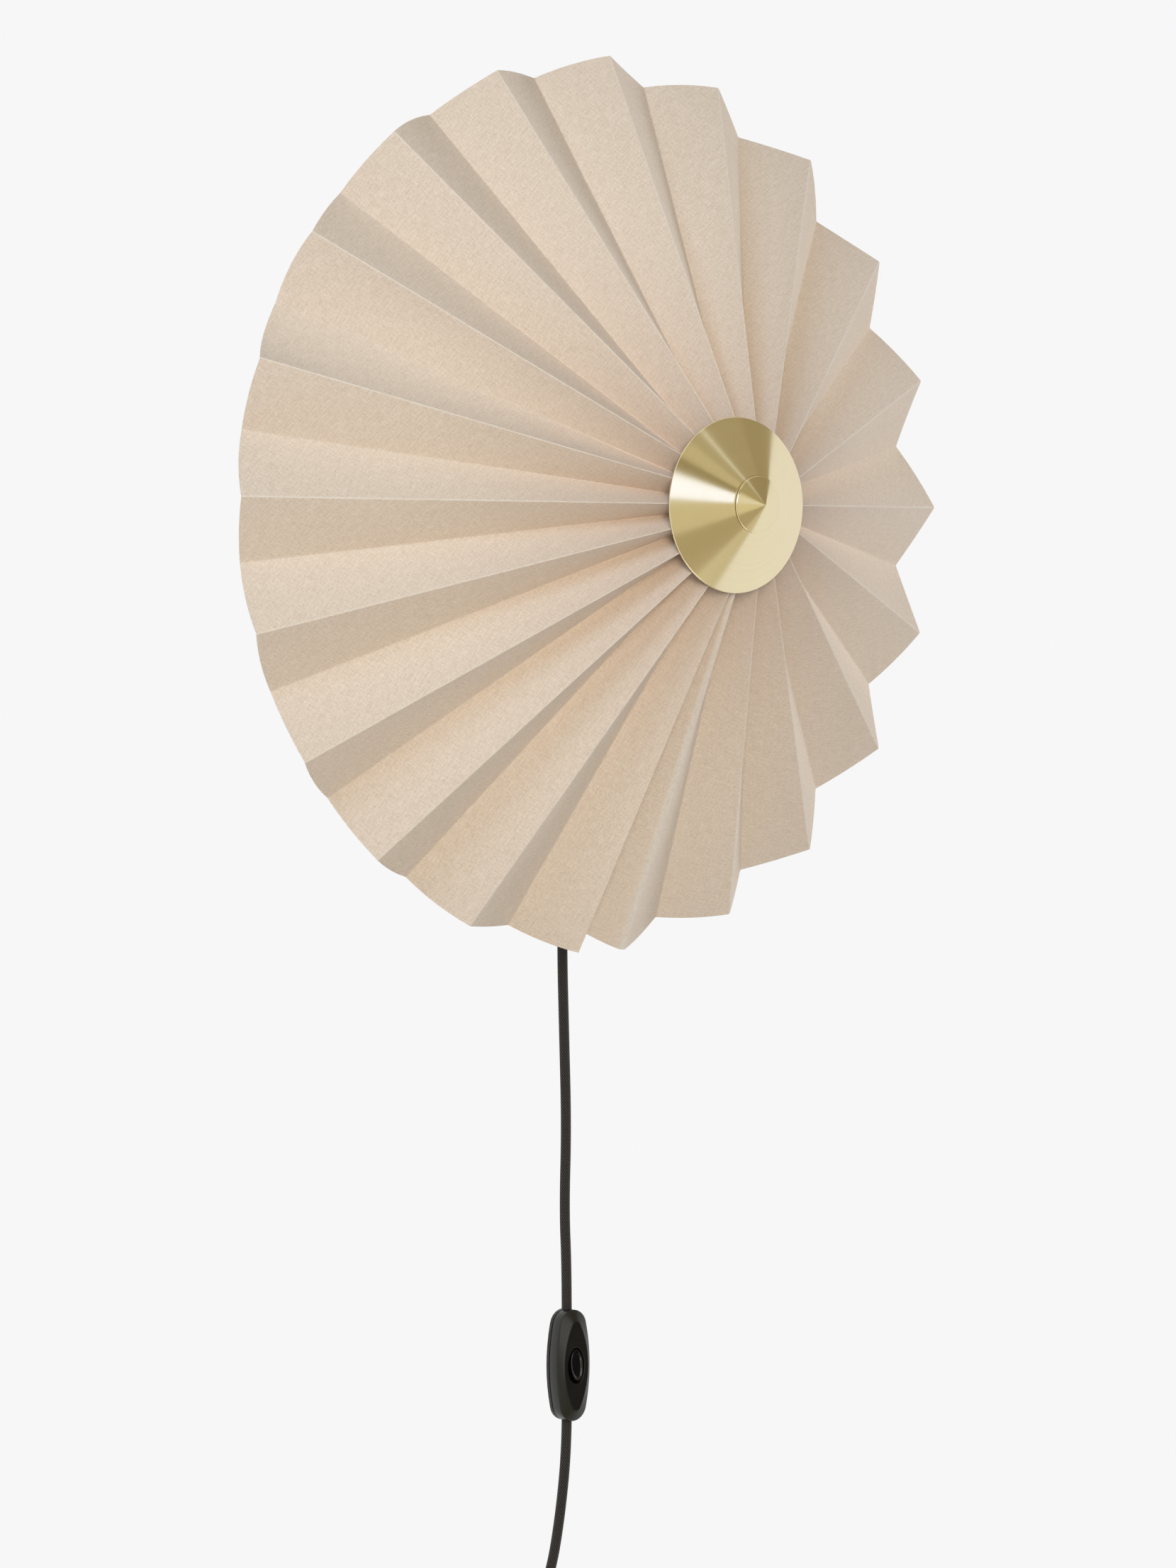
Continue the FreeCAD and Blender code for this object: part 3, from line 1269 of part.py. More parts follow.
def coil_tie():
    """A soft strap round the turns at the bottom of the coil."""
    outer_turn = coil_radius(0.25) + CORD_RADIUS
    inner_turn = coil_radius(3.25) - CORD_RADIUS
    sag = inner_turn - math.sqrt(inner_turn ** 2 - (TIE_WIDTH / 2.0) ** 2)
    depths = (COIL_BACK_DEPTH - CORD_RADIUS - TIE_CLEARANCE,
              COIL_BACK_DEPTH + COIL_PITCH + CORD_RADIUS + TIE_CLEARANCE)
    heights = (COIL_Z - outer_turn - TIE_CLEARANCE, COIL_Z - inner_turn + sag + TIE_CLEARANCE)
    width = (-TIE_WIDTH / 2.0, TIE_WIDTH / 2.0)
    inside = box(width, depths, heights)
    outside = box(width, (depths[0] - TIE_THICKNESS, depths[1] + TIE_THICKNESS),
                  (heights[0] - TIE_THICKNESS, heights[1] + TIE_THICKNESS))
    along = [e for e in outside.Edges if abs(e.tangentAt(e.FirstParameter).x) > 0.9]
    return one(outside.makeFillet(2.0 * TIE_THICKNESS, along).cut(inside))


def plug_face():
    """Height of the plug's face, which the pins stand out of."""
    return PLUG_Z - PLUG_RELIEF_LENGTH - PLUG_BODY_LENGTH


def plug_body():
    """A moulded flat plug with chamfered sides and a tapered relief on top."""
    top = PLUG_Z - PLUG_RELIEF_LENGTH
    back = PLUG_DEPTH - PLUG_THICKNESS / 2.0
    halves = [(PLUG_TOP_WIDTH / 2.0, top), (PLUG_WIDTH / 2.0, top - PLUG_SHOULDER),
              (PLUG_FACE_WIDTH / 2.0, plug_face())]
    points = [at(PLUG_X + x, back, z) for x, z in halves]
    points += [at(PLUG_X - x, back, z) for x, z in reversed(halves)]
    body = polygon_face(points).extrude(V(0, -PLUG_THICKNESS, 0))
    sides = [e for e in body.Edges if abs(e.tangentAt(e.FirstParameter).y) < 0.1
             and e.CenterOfMass.z > plug_face() + PLUG_CHAMFER / 2.0]
    body = body.makeChamfer(PLUG_CHAMFER, sides)
    relief = faceted([(PLUG_RELIEF_FOOT_RADIUS, top), (PLUG_RELIEF_RADIUS, PLUG_Z)], SMALL_SIDES,
                     at(PLUG_X, PLUG_DEPTH, 0), V(0, 0, 1))
    body = body.fuse(relief)
    for x in pin_places():
        body = body.cut(bore(at(x, PLUG_DEPTH, plug_face() - OVERSHOOT),
                             at(x, PLUG_DEPTH, plug_face() + PIN_ROOT), PIN_RADIUS + RUNNING))
    return one(body)


def pin_places():
    return [PLUG_X - PIN_SPACING / 2.0, PLUG_X + PIN_SPACING / 2.0]


def plug_pins():
    """Two round pins."""
    return Part.makeCompound([bar(at(x, PLUG_DEPTH, plug_face() + PIN_ROOT),
                                  at(x, PLUG_DEPTH, plug_face() - PIN_LENGTH), PIN_RADIUS, SMALL_SIDES)
                              for x in pin_places()])


# ---------------------------------------------------------------- output

def build():
    """Every piece by its name."""
    carrier_back = seat_flange_depth() - CARRIER_HUB_THICKNESS
    return {
        "wall_bracket": wall_bracket(),
        "wall_canopy": wall_canopy(),
        "canopy_screws": canopy_screws(),
        "stem_tube": stem_tube(),
        "stem_lock_nut": stem_nut(COLLAR_DEPTH),
        "stem_front_nut": stem_nut(strip_depth()),
        "terminal_block": terminal_block(),
        "terminal_screws": terminal_screws(),
        "inner_cord": inner_cord(),
        "cord_grip": cord_grip(),
        "grip_nut": grip_nut(),
        "lampholder_bracket": lampholder_bracket(),
        "lampholder_nipple": lampholder_nipple(),
        "nipple_nut": nipple_nut(),
        "lampholder_body": lampholder_body(),
        "lamp_contact": lamp_contact(),
        "lamp_thread_shell": lamp_thread_shell(),
        "lampholder_lead": cord("lampholder_lead", LAMPHOLDER_LEAD_ROUTE, LEAD_RADIUS, LEAD_SIDES),
        "bulb_cap": bulb_cap(),
        "bulb_glass": bulb_glass(),
        "bulb_filament": bulb_filament(),
        "seat_nut": stem_nut(carrier_back - NUT_HEIGHT),
        "shade_carrier": shade_carrier(),
        "shade_seat": shade_seat(),
        "pleated_shade": pleated_shade(),
        "brass_cone": brass_cone(),
        "finial_nut": finial_nut(),
        "cord_upper": cord("cord_upper", CORD_UPPER_ROUTE, CORD_RADIUS),
        "switch_rear_shell": switch_rear_shell(),
        "switch_front_shell": switch_front_shell(),
        "switch_rocker": switch_rocker(),
        "switch_contacts": switch_contacts(),
        "switch_screws": switch_screws(),
        "cord_lower": cord("cord_lower", CORD_LOWER_ROUTE, CORD_RADIUS),
        "cord_coil": cord_coil(),
        "coil_tie": coil_tie(),
        "cord_tail": cord("cord_tail", CORD_TAIL_ROUTE, CORD_RADIUS),
        "plug_body": plug_body(),
        "plug_pins": plug_pins(),
    }


def main():
    os.makedirs("parts", exist_ok=True)
    for name, shape in build().items():
        if not shape.isValid():
            print("not valid:", name)
        shape.exportStep(os.path.join("parts", name + ".step"))
        print("%-20s solids %d  volume %.1f" % (name, len(shape.Solids), shape.Volume))


main()
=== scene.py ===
"""Looks of a fabric shade wall light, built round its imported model.

Metres, in the frame of the model. The origin is on the wall, on the axis of the hub; +X is right,
+Z is up and the lamp stands out of the wall towards -Y. A depth is a distance from the wall, -Y.
"""
import logging
import math
from dataclasses import dataclass, field
from enum import Enum
from functools import cache
from typing import Any, Sequence

import bpy
import numpy as np
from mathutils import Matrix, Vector


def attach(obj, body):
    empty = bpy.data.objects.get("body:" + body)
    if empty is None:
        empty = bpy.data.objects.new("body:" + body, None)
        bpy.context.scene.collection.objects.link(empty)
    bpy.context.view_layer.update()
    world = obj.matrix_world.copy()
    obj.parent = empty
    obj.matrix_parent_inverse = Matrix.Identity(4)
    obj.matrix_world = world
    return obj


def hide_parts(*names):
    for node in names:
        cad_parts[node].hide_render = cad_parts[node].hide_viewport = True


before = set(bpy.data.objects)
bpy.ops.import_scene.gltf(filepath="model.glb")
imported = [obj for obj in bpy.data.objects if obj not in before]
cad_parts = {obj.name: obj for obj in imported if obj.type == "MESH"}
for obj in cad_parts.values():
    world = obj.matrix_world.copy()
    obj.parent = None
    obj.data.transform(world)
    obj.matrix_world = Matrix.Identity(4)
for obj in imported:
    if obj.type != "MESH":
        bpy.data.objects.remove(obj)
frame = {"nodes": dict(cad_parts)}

LOG = logging.getLogger("wall_light")
Point = tuple[float, float, float]
Colour = tuple[float, float, float]
Outline = list[tuple[float, float]]
Rings = tuple[tuple[float, float], ...]
Material = bpy.types.Material
Piece = bpy.types.Object
Socket = bpy.types.NodeSocket
PAPER = 0.93                       # linear value of the pale background
MILLIMETRE = 0.001


class Body(str, Enum):
    """The bodies that pieces ride on."""

    LAMP = "lamp"
    ROCKER = "rocker"


class Run(str, Enum):
    """How a finish follows its piece."""

    OBJECT = "Object"
    UV = "UV"


def at(x: float, depth: float, z: float) -> Vector:
    """The point at a place, given by its distance from the wall."""
    return Vector((x, -depth, z))


def circle(steps: int) -> Outline:
    """Cosine and sine of each step round a circle."""
    return [(math.cos(math.tau * i / steps), math.sin(math.tau * i / steps)) for i in range(steps)]


def placed(name: str, data: bpy.types.ID, place: Point, way: Vector) -> Piece:
    """Puts a camera or a light in its place and turns it.

    Args:
        name: Name of the new object.
        data: The camera or the light.
        place: Where it stands.
        way: Where it looks.

    Returns:
        The object, linked to the scene.
    """
    thing = bpy.data.objects.new(name, data)
    thing.location = place
    thing.rotation_mode = "QUATERNION"
    thing.rotation_quaternion = way.to_track_quat("-Z", "Y")
    bpy.context.scene.collection.objects.link(thing)
    return thing


def add_piece(name: str, vertices: Sequence[Sequence[float]], faces: Sequence[Sequence[int]],
              materials: Sequence[Material]) -> Piece:
    """Makes a smooth mesh object.

    Args:
        name: Name of the piece.
        vertices: Its points.
        faces: Its faces as rows of point numbers.
        materials: Its materials, in slot order.

    Returns:
        The new object, linked to the scene.
    """
    mesh = bpy.data.meshes.new(name)
    mesh.from_pydata([tuple(v) for v in vertices], [], [tuple(f) for f in faces])
    for material in materials:
        mesh.materials.append(material)
    mesh.polygons.foreach_set("use_smooth", [True] * len(mesh.polygons))
    mesh.update()
    piece = bpy.data.objects.new(name, mesh)
    bpy.context.scene.collection.objects.link(piece)
    return piece


def fit(piece: Piece, body: Body, slot: str, *nodes: str) -> Piece:
    """Puts a piece on its body in place of the model's own nodes.

    Args:
        piece: The piece.
        body: What it rides on.
        slot: Not used.
        nodes: The nodes that it takes the place of.

    Returns:
        The same piece.
    """
    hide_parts(*nodes)
    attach(piece, body.value)
    LOG.info("%s: %d faces", piece.name, len(piece.data.polygons))
    return piece


# ---------------------------------------------------------------- shader building

class Graph:
    """Adds nodes to one shader tree and links them."""

    def __init__(self, tree: bpy.types.NodeTree) -> None:
        """Keeps the tree."""
        self.tree = tree

    @classmethod
    def blank(cls, owner: Any) -> "Graph":
        """Empties the tree of a material or a world and opens it.

        Args:
            owner: The material or the world.

        Returns:
            Its graph.
        """
        owner.use_nodes = True
        owner.node_tree.nodes.clear()
        return cls(owner.node_tree)

    def node(self, kind: str, *values: Any, **settings: Any) -> bpy.types.Node:
        """Adds a node.

        Args:
            kind: Its type name after ShaderNode.
            values: Sockets or values for its first inputs.
            settings: Properties to set on it.

        Returns:
            The node.
        """
        made = self.tree.nodes.new("ShaderNode" + kind)
        for key, value in settings.items():
            setattr(made, key, value)
        for socket, value in zip(made.inputs, values):
            self.feed(socket, value)
        return made

    def feed(self, socket: Socket, value: Any) -> None:
        """Links a socket or sets its value.

        Args:
            socket: The input.
            value: A socket to link, or a number, a vector or a colour.
        """
        if isinstance(value, Socket):
            self.tree.links.new(value, socket)
        elif socket.type == "RGBA":
            socket.default_value = (*value, 1.0)
        else:
            socket.default_value = value

    def math(self, operation: str, *values: Any) -> Socket:
        """The result of one arithmetic step on sockets or numbers."""
        return self.node("Math", *values, operation=operation).outputs[0]

    def stretch(self, vector: Socket, scale: Point) -> Socket:
        """A vector scaled along each axis."""
        return self.node("VectorMath", vector, scale, operation="MULTIPLY").outputs[0]

    def split(self, vector: Socket) -> Sequence[Socket]:
        """The three parts of a vector."""
        return self.node("SeparateXYZ", vector).outputs

    def remap(self, value: Any, low: float, high: float, new_low: Any, new_high: Any) -> Socket:
        """A value taken from one range to another, and kept inside it."""
        return self.node("MapRange", value, low, high, new_low, new_high, clamp=True).outputs[0]

    def noise(self, vector: Socket, scale: Any, detail: float = 2.0, roughness: float = 0.5
              ) -> Socket:
        """Smooth noise between about 0.3 and 0.7.

        Args:
            vector: Where to read it.
            scale: Waves per metre of the vector.
            detail: Number of finer layers.
            roughness: Strength of the finer layers.

        Returns:
            The noise value's socket.
        """
        made = self.node("TexNoise")
        for label, value in (("Vector", vector), ("Scale", scale), ("Detail", detail),
                             ("Roughness", roughness)):
            self.feed(made.inputs[label], value)
        return made.outputs["Fac"]

    def blend(self, factor: Any, first: Any, second: Any) -> Socket:
        """Mixes two colours.

        Args:
            factor: Share of the second.
            first: First colour or socket.
            second: Second colour or socket.

        Returns:
            The mixed colour's socket.
        """
        made = self.node("Mix", factor, data_type="RGBA")
        self.feed(made.inputs[6], first)
        self.feed(made.inputs[7], second)
        return made.outputs[2]


class Effects:
    """Node groups that several finishes share, each built once."""

    @staticmethod
    def start(name: str, numbers: dict[str, float], results: Sequence[str]
              ) -> tuple[Graph, Any, Any]:
        """Begins a group that reads a vector and numbers, and gives numbers.

        Args:
            name: Name of the group.
            numbers: Each number that it reads, with its default.
            results: Names of the numbers that it gives.

        Returns:
            The graph, the input node's outputs and the output node's inputs.
        """
        tree = bpy.data.node_groups.new(name, "ShaderNodeTree")
        sockets, number = tree.interface, "NodeSocketFloat"
        sockets.new_socket("Vector", in_out="INPUT", socket_type="NodeSocketVector")
        for label, value in numbers.items():
            sockets.new_socket(label, in_out="INPUT", socket_type=number).default_value = value
        for label in results:
            sockets.new_socket(label, in_out="OUTPUT", socket_type=number)
        ends = [tree.nodes.new("NodeGroup" + end) for end in ("Input", "Output")]
        return Graph(tree), ends[0].outputs, ends[1].inputs

    @cache
    def linen_weave(self) -> bpy.types.NodeTree:
        """Plain weave of uneven threads.

        Returns:
            A group that gives a Tone round 0.5 and a Height.
        """
        graph, into, out = self.start("linen_weave", {"Pitch": 0.0005}, ("Tone", "Height"))
        vector = into["Vector"]
        per_metre = graph.math("DIVIDE", math.tau, into["Pitch"])
        drift = graph.math("MULTIPLY", graph.noise(vector, 300.0), 9.0)
        x, y, _ = graph.split(vector)
        warp = graph.math("SINE", graph.math("MULTIPLY_ADD", x, per_metre, drift))
        weft = graph.math("SINE", graph.math("MULTIPLY_ADD", y, per_metre, drift))
        cross = graph.math("MULTIPLY", warp, weft)
        slub_warp = graph.noise(graph.stretch(vector, (1500.0, 170.0, 1.0)), 1.0, 3.0, 0.6)
        slub_weft = graph.noise(graph.stretch(vector, (130.0, 1300.0, 1.0)), 1.0, 3.0, 0.6)
        slubs = graph.math("ADD", slub_warp, slub_weft)
        fuzz = graph.noise(vector, 900.0, 4.0, 0.75)
        tone = graph.math("MULTIPLY_ADD", slubs, 1.1,
                          graph.math("MULTIPLY_ADD", cross, 0.06, -0.6))
        tone = graph.math("ADD", tone, graph.math("MULTIPLY_ADD", fuzz, 1.8, -0.9))
        height = graph.math("MULTIPLY_ADD", cross, 0.35, slubs)
        graph.feed(out["Tone"], tone)
        graph.feed(out["Height"], graph.math("ADD", height, fuzz))
        return graph.tree

    @cache
    def lathe_grooves(self) -> bpy.types.NodeTree:
        """Turning marks round the Y axis.

        Returns:
            A group that gives a Streak round 0.5 and a Height.
        """
        graph, into, out = self.start("lathe_grooves", {"Pitch": 0.0004}, ("Streak", "Height"))
        x, _, z = graph.split(into["Vector"])
        squares = graph.math("ADD", graph.math("MULTIPLY", x, x), graph.math("MULTIPLY", z, z))
        across = graph.math("DIVIDE", graph.math("SQRT", squares), into["Pitch"])
        around = graph.math("MULTIPLY", graph.math("ARCTAN2", z, x), 0.35)
        place = graph.node("CombineXYZ", across, around).outputs[0]
        fine = graph.noise(place, 1.0, 3.0, 0.65)
        broad = graph.math("MULTIPLY", graph.noise(place, 0.13), 0.15)
        graph.feed(out["Streak"], graph.math("MULTIPLY_ADD", fine, 0.85, broad))
        graph.feed(out["Height"], fine)
        return graph.tree

    @cache
    def fine_grain(self) -> bpy.types.NodeTree:
        """Moulded or cast grain.

        Returns:
            A group that gives a Grain and a slow Cloud, both round 0.5.
        """
        graph, into, out = self.start("fine_grain", {"Size": 0.0004}, ("Grain", "Cloud"))
        scale = graph.math("DIVIDE", 1.0, into["Size"])
        graph.feed(out["Grain"], graph.noise(into["Vector"], scale, 3.0, 0.6))
        graph.feed(out["Cloud"], graph.noise(into["Vector"], 70.0, 3.0, 0.55))
        return graph.tree

    @cache
    def braid(self) -> bpy.types.NodeTree:
        """Crossing strands round a cord, on (turn, metres along).

        Returns:
            A group that gives the Thread inside a strand and a Height.
        """
        graph, into, out = self.start("braid", {"Strands": 12.0, "Lay": 0.0016},
                                      ("Thread", "Height"))
        x, y, _ = graph.split(into["Vector"])
        around = graph.math("MULTIPLY", x, into["Strands"])
        along = graph.math("DIVIDE", y, into["Lay"])
        first = graph.math("ADD", around, along)
        second = graph.math("SUBTRACT", around, along)
        cells = graph.math("ADD", graph.math("FLOOR", first), graph.math("FLOOR", second))
        over = graph.math("FLOORED_MODULO", cells, 2.0)
        in_first = graph.math("FRACT", first)
        in_second = graph.math("FRACT", second)
        step = graph.math("SUBTRACT", in_second, in_first)
        across = graph.math("MULTIPLY_ADD", step, over, in_first)
        back = graph.math("MULTIPLY", step, -1.0)
        lengthwise = graph.math("MULTIPLY_ADD", back, over, in_second)
        crown = graph.math("SINE", graph.math("MULTIPLY", across, math.pi))
        rise = graph.math("SINE", graph.math("MULTIPLY", lengthwise, math.pi))
        height = graph.math("MULTIPLY", crown, graph.math("POWER", rise, 0.4))
        yarns = graph.math("SINE", graph.math("MULTIPLY", across, math.tau * 3.0))
        graph.feed(out["Thread"], graph.math("MULTIPLY_ADD", yarns, 0.5, 0.5))
        graph.feed(out["Height"], graph.math("MULTIPLY_ADD", yarns, 0.08, height))
        return graph.tree


EFFECTS = Effects()


class Surface:
    """A material with one Principled shader, being built."""

    def __init__(self, name: str, run: Run) -> None:
        """Makes the material and reads where its pattern runs.

        Args:
            name: Name of the material.
            run: Whether patterns follow the object or its flat layout.
        """
        self.material = bpy.data.materials.new(name)
        self.material.use_nodes = True
        self.graph = Graph(self.material.node_tree)
        self.shader = self.material.node_tree.nodes["Principled BSDF"]
        self.vector = self.graph.node("TexCoord").outputs[run.value]

    def effect(self, group: bpy.types.NodeTree, **values: float) -> Any:
        """Places an effect on this surface.

        Args:
            group: The effect's node group.
            values: Numbers for its inputs.

        Returns:
            The effect's outputs.
        """
        made = self.graph.node("Group", node_tree=group)
        self.graph.feed(made.inputs["Vector"], self.vector)
        for key, value in values.items():
            made.inputs[key].default_value = value
        return made.outputs

    def bump(self, height: Socket, strength: float, distance: float) -> None:
        """Raises the surface by a height.

        Args:
            height: The height's socket.
            strength: Share of it that is used.
            distance: Metres for a height of 1.
        """
        made = self.graph.node("Bump")
        for label, value in (("Strength", strength), ("Distance", distance), ("Height", height)):
            self.graph.feed(made.inputs[label], value)
        self.graph.feed(self.shader.inputs["Normal"], made.outputs[0])

    def set(self, **values: Any) -> None:
        """Sets or links the shader's own sockets; underscores stand for spaces."""
        for key, value in values.items():
            self.graph.feed(self.shader.inputs[key.replace("_", " ")], value)


# ---------------------------------------------------------------- finishes

@dataclass(frozen=True)
class LinenFinish:
    """Fine linen laminate, paler along the mountain ridges through crease wear and a painted
    highlight, and darker towards the hub through painted shade.
    """

    name: str = "linen_laminate"
    light: Colour = (0.905, 0.800, 0.690)
    dark: Colour = (0.730, 0.620, 0.500)
    cloud: Colour = (0.80, 0.68, 0.60)
    # Paler colour along the ridges: crease wear and a painted highlight.
    ridge: Colour = (0.900, 0.850, 0.770)
    # Colour of the painted shade towards the hub.
    wear_and_painted_shade: Colour = (0.560, 0.420, 0.340)
    pitch: float = 0.00055
    sheen: float = 0.22

    def material(self) -> Material:
        """Builds the finish.

        Returns:
            Its material.
        """
        surface = Surface(self.name, Run.UV)
        graph, vector = surface.graph, surface.vector
        weave = surface.effect(EFFECTS.linen_weave(), Pitch=self.pitch)
        tone = graph.remap(weave["Tone"], 0.15, 0.85, 0.0, 1.0)
        colour = graph.blend(tone, self.dark, self.light)
        clouds = graph.remap(graph.noise(vector, 14.0, 3.0), 0.3, 0.7, 0.0, 0.12)
        colour = graph.blend(clouds, colour, self.cloud)
        # Painted shade: the cloth is darkened towards the hub, where the folds bunch and shade one
        # another.
        painted_hub_shade = graph.node("Attribute", attribute_name="painted_hub_shade").outputs["Fac"]
        colour = graph.blend(graph.math("MULTIPLY", painted_hub_shade, 0.45), colour, self.wear_and_painted_shade)
        # Paler line along the mountain ridges: partly real wear of the creases, partly a painted
        # highlight where the rounded crease catches the light.
        fold = graph.node("Attribute", attribute_name="fold").outputs["Fac"]
        broken = graph.remap(graph.noise(vector, 420.0), 0.3, 0.6, 0.35, 1.0)
        colour = graph.blend(graph.math("MULTIPLY", fold, broken), colour, self.ridge)
        surface.set(Base_Color=colour, Sheen_Weight=self.sheen, Sheen_Roughness=0.45,
                    Sheen_Tint=(1.0, 0.99, 0.97), Specular_IOR_Level=0.25,
                    Roughness=graph.remap(weave["Tone"], 0.2, 0.8, 0.95, 0.78))
        surface.bump(weave["Height"], 0.35, 0.00012)
        return surface.material


@dataclass(frozen=True)
class LiningFinish:
    """The smooth pale backing of the laminate; also its cut edge."""

    name: str = "laminate_backing"
    colour: Colour = (0.84, 0.80, 0.73)
    shade: float = 0.94
    pitch: float = 0.00055
    roughness: float = 0.55

    def material(self) -> Material:
        """Builds the finish.

        Returns:
            Its material.
        """
        surface = Surface(self.name, Run.UV)
        graph = surface.graph
        weave = surface.effect(EFFECTS.linen_weave(), Pitch=self.pitch)
        low = tuple(self.shade * part for part in self.colour)
        tone = graph.remap(weave["Tone"], 0.3, 0.7, 0.0, 1.0)
        surface.set(Base_Color=graph.blend(tone, low, self.colour),
                    Roughness=graph.remap(weave["Tone"], 0.3, 0.7, 0.7, self.roughness))
        surface.bump(weave["Height"], 0.12, 0.00008)
        return surface.material


@dataclass(frozen=True)
class TurnedMetalFinish:
    """Metal brushed on a lathe, round the Y axis."""

    name: str
    colour: Colour
    # Darker brass of the turning streaks and slow clouds, a tone of the metal itself.
    wear_and_painted_shade: Colour
    roughness: float = 0.21
    swing: float = 0.02
    anisotropy: float = 0.80
    pitch: float = 0.00035

    def material(self) -> Material:
        """Builds the finish.

        Returns:
            Its material.
        """
        surface = Surface(self.name, Run.OBJECT)
        graph = surface.graph
        marks = surface.effect(EFFECTS.lathe_grooves(), Pitch=self.pitch)
        cloud = surface.effect(EFFECTS.fine_grain(), Size=0.0008)["Cloud"]
        streak = graph.remap(marks["Streak"], 0.3, 0.7, 0.3, 0.8)
        colour = graph.blend(streak, self.wear_and_painted_shade, self.colour)
        colour = graph.blend(graph.remap(cloud, 0.35, 0.7, 0.0, 0.35), colour, self.wear_and_painted_shade)
        tangent = graph.node("Tangent", direction_type="RADIAL", axis="Y").outputs[0]
        surface.set(Base_Color=colour, Metallic=1.0, Anisotropic=self.anisotropy,
                    Anisotropic_Rotation=0.25, Tangent=tangent)
        surface.set(Roughness=graph.remap(marks["Streak"], 0.3, 0.7, self.roughness + self.swing,
                                          self.roughness - self.swing))
        surface.bump(marks["Height"], 0.08, 0.00002)
        return surface.material


@dataclass(frozen=True)
class MouldedFinish:
    """Moulded plastic or rubber, with a fine grain and slow clouds of a second colour.

    The second colour is full where the cloud noise reaches ``full``, and ``swing`` is how far the
    grain takes the roughness down and up.
    """

    name: str
    colour: Colour
    bloom: Colour
    roughness: float = 0.42
    size: float = 0.00028
    relief: float = 0.25
    coat: float = 0.0
    shine: float = 0.5
    metallic: float = 0.0
    clear: float = 0.0
    ior: float = 1.5
    rise: float = 0.00005
    full: float = 0.7
    swing: tuple[float, float] = (0.05, 0.08)

    def material(self) -> Material:
        """Builds the finish.

        Returns:
            Its material.
        """
        surface = Surface(self.name, Run.OBJECT)
        graph = surface.graph
        grain = surface.effect(EFFECTS.fine_grain(), Size=self.size)
        cloud = graph.remap(grain["Cloud"], 0.35, self.full, 0.0, 1.0)
        rough = graph.remap(grain["Grain"], 0.3, 0.7, self.roughness - self.swing[0],
                            self.roughness + self.swing[1])
        surface.set(Base_Color=graph.blend(cloud, self.colour, self.bloom), Roughness=rough,
                    Metallic=self.metallic, Coat_Weight=self.coat, Coat_Roughness=0.05,
                    Specular_IOR_Level=self.shine, Transmission_Weight=self.clear, IOR=self.ior)
        surface.bump(grain["Grain"], self.relief, self.rise)
        return surface.material


@dataclass(frozen=True)
class PlainMetalFinish(MouldedFinish):
    """Plated, pressed or coated metal."""

    size: float = 0.0005
    relief: float = 0.15
    metallic: float = 1.0
    rise: float = 0.00004
    full: float = 0.65
    swing: tuple[float, float] = (0.06, 0.10)


@dataclass(frozen=True)
class BraidFinish:
    """Black textile braid of crossing yarns, with a painted highlight on the crown of each strand.
    """

    name: str = "black_braid"
    colour: Colour = (0.010, 0.009, 0.008)
    painted_crown_highlight: Colour = (0.150, 0.125, 0.105)
    strands: float = 12.0
    lay: float = 0.0017

    def material(self) -> Material:
        """Builds the finish.

        Returns:
            Its material.
        """
        surface = Surface(self.name, Run.UV)
        graph = surface.graph
        braid = surface.effect(EFFECTS.braid(), Strands=self.strands, Lay=self.lay)
        fuzz = graph.noise(surface.vector, 900.0, 2.0, 0.7)
        # Painted highlight: the crowns of the strands are lightened toward a paler colour, broken
        # by fuzz and the yarns.
        lit = graph.math("MULTIPLY", graph.remap(braid["Height"], 0.55, 1.0, 0.0, 1.0),
                         graph.remap(fuzz, 0.3, 0.7, 0.4, 1.0))
        lit = graph.math("MULTIPLY", lit, graph.remap(braid["Thread"], 0.0, 1.0, 0.55, 1.0))
        surface.set(Base_Color=graph.blend(lit, self.colour, self.painted_crown_highlight), Sheen_Weight=0.15,
                    Sheen_Roughness=0.4, Specular_IOR_Level=0.35,
                    Roughness=graph.remap(fuzz, 0.3, 0.7, 0.62, 0.8))
        surface.bump(braid["Height"], 0.8, 0.00022)
        return surface.material


# ---------------------------------------------------------------- turned and lofted meshes

def softened(profile: Outline, reach: float) -> Outline:
    """Rounds the inner corners of an open profile.

    Args:
        profile: (radius, depth) points.
        reach: How far from each corner the rounding starts.

    Returns:
        The profile with five points in place of each inner corner.
    """
    points = [Vector(p) for p in profile]
    rounded = [points[0]]
    for before, corner, after in zip(points, points[1:], points[2:]):
        near = min(reach, 0.3 * (before - corner).length, 0.3 * (after - corner).length)
        start = corner + (before - corner).normalized() * near
        end = corner + (after - corner).normalized() * near
        middle = start * 0.25 + corner * 0.5 + end * 0.25
        rounded += [start * 1.5 - corner * 0.5, start, middle, end, end * 1.5 - corner * 0.5]
    rounded.append(points[-1])
    return [(p.x, p.y) for p in rounded]


def turned(name: str, profile: Outline, segments: int, material: Material) -> Piece:
    """Turns an open profile about the hub's axis.

    Args:
        name: Name of the piece.
        profile: (radius, depth) points; a radius of 0 closes it.
        segments: Steps round the axis.
        material: Its finish.

    Returns:
        The new object.
    """
    vertices: list[Vector] = []
    rings: list[list[int]] = []
    for radius, depth in profile:
        start = len(vertices)
        if radius <= 0.0:
            vertices.append(at(0.0, depth, 0.0))
            rings.append([start] * segments)
            continue
        vertices += [at(radius * cos, depth, radius * sin) for cos, sin in circle(segments)]
        rings.append(list(range(start, start + segments)))
    return add_piece(name, vertices, bridged(rings), [material])


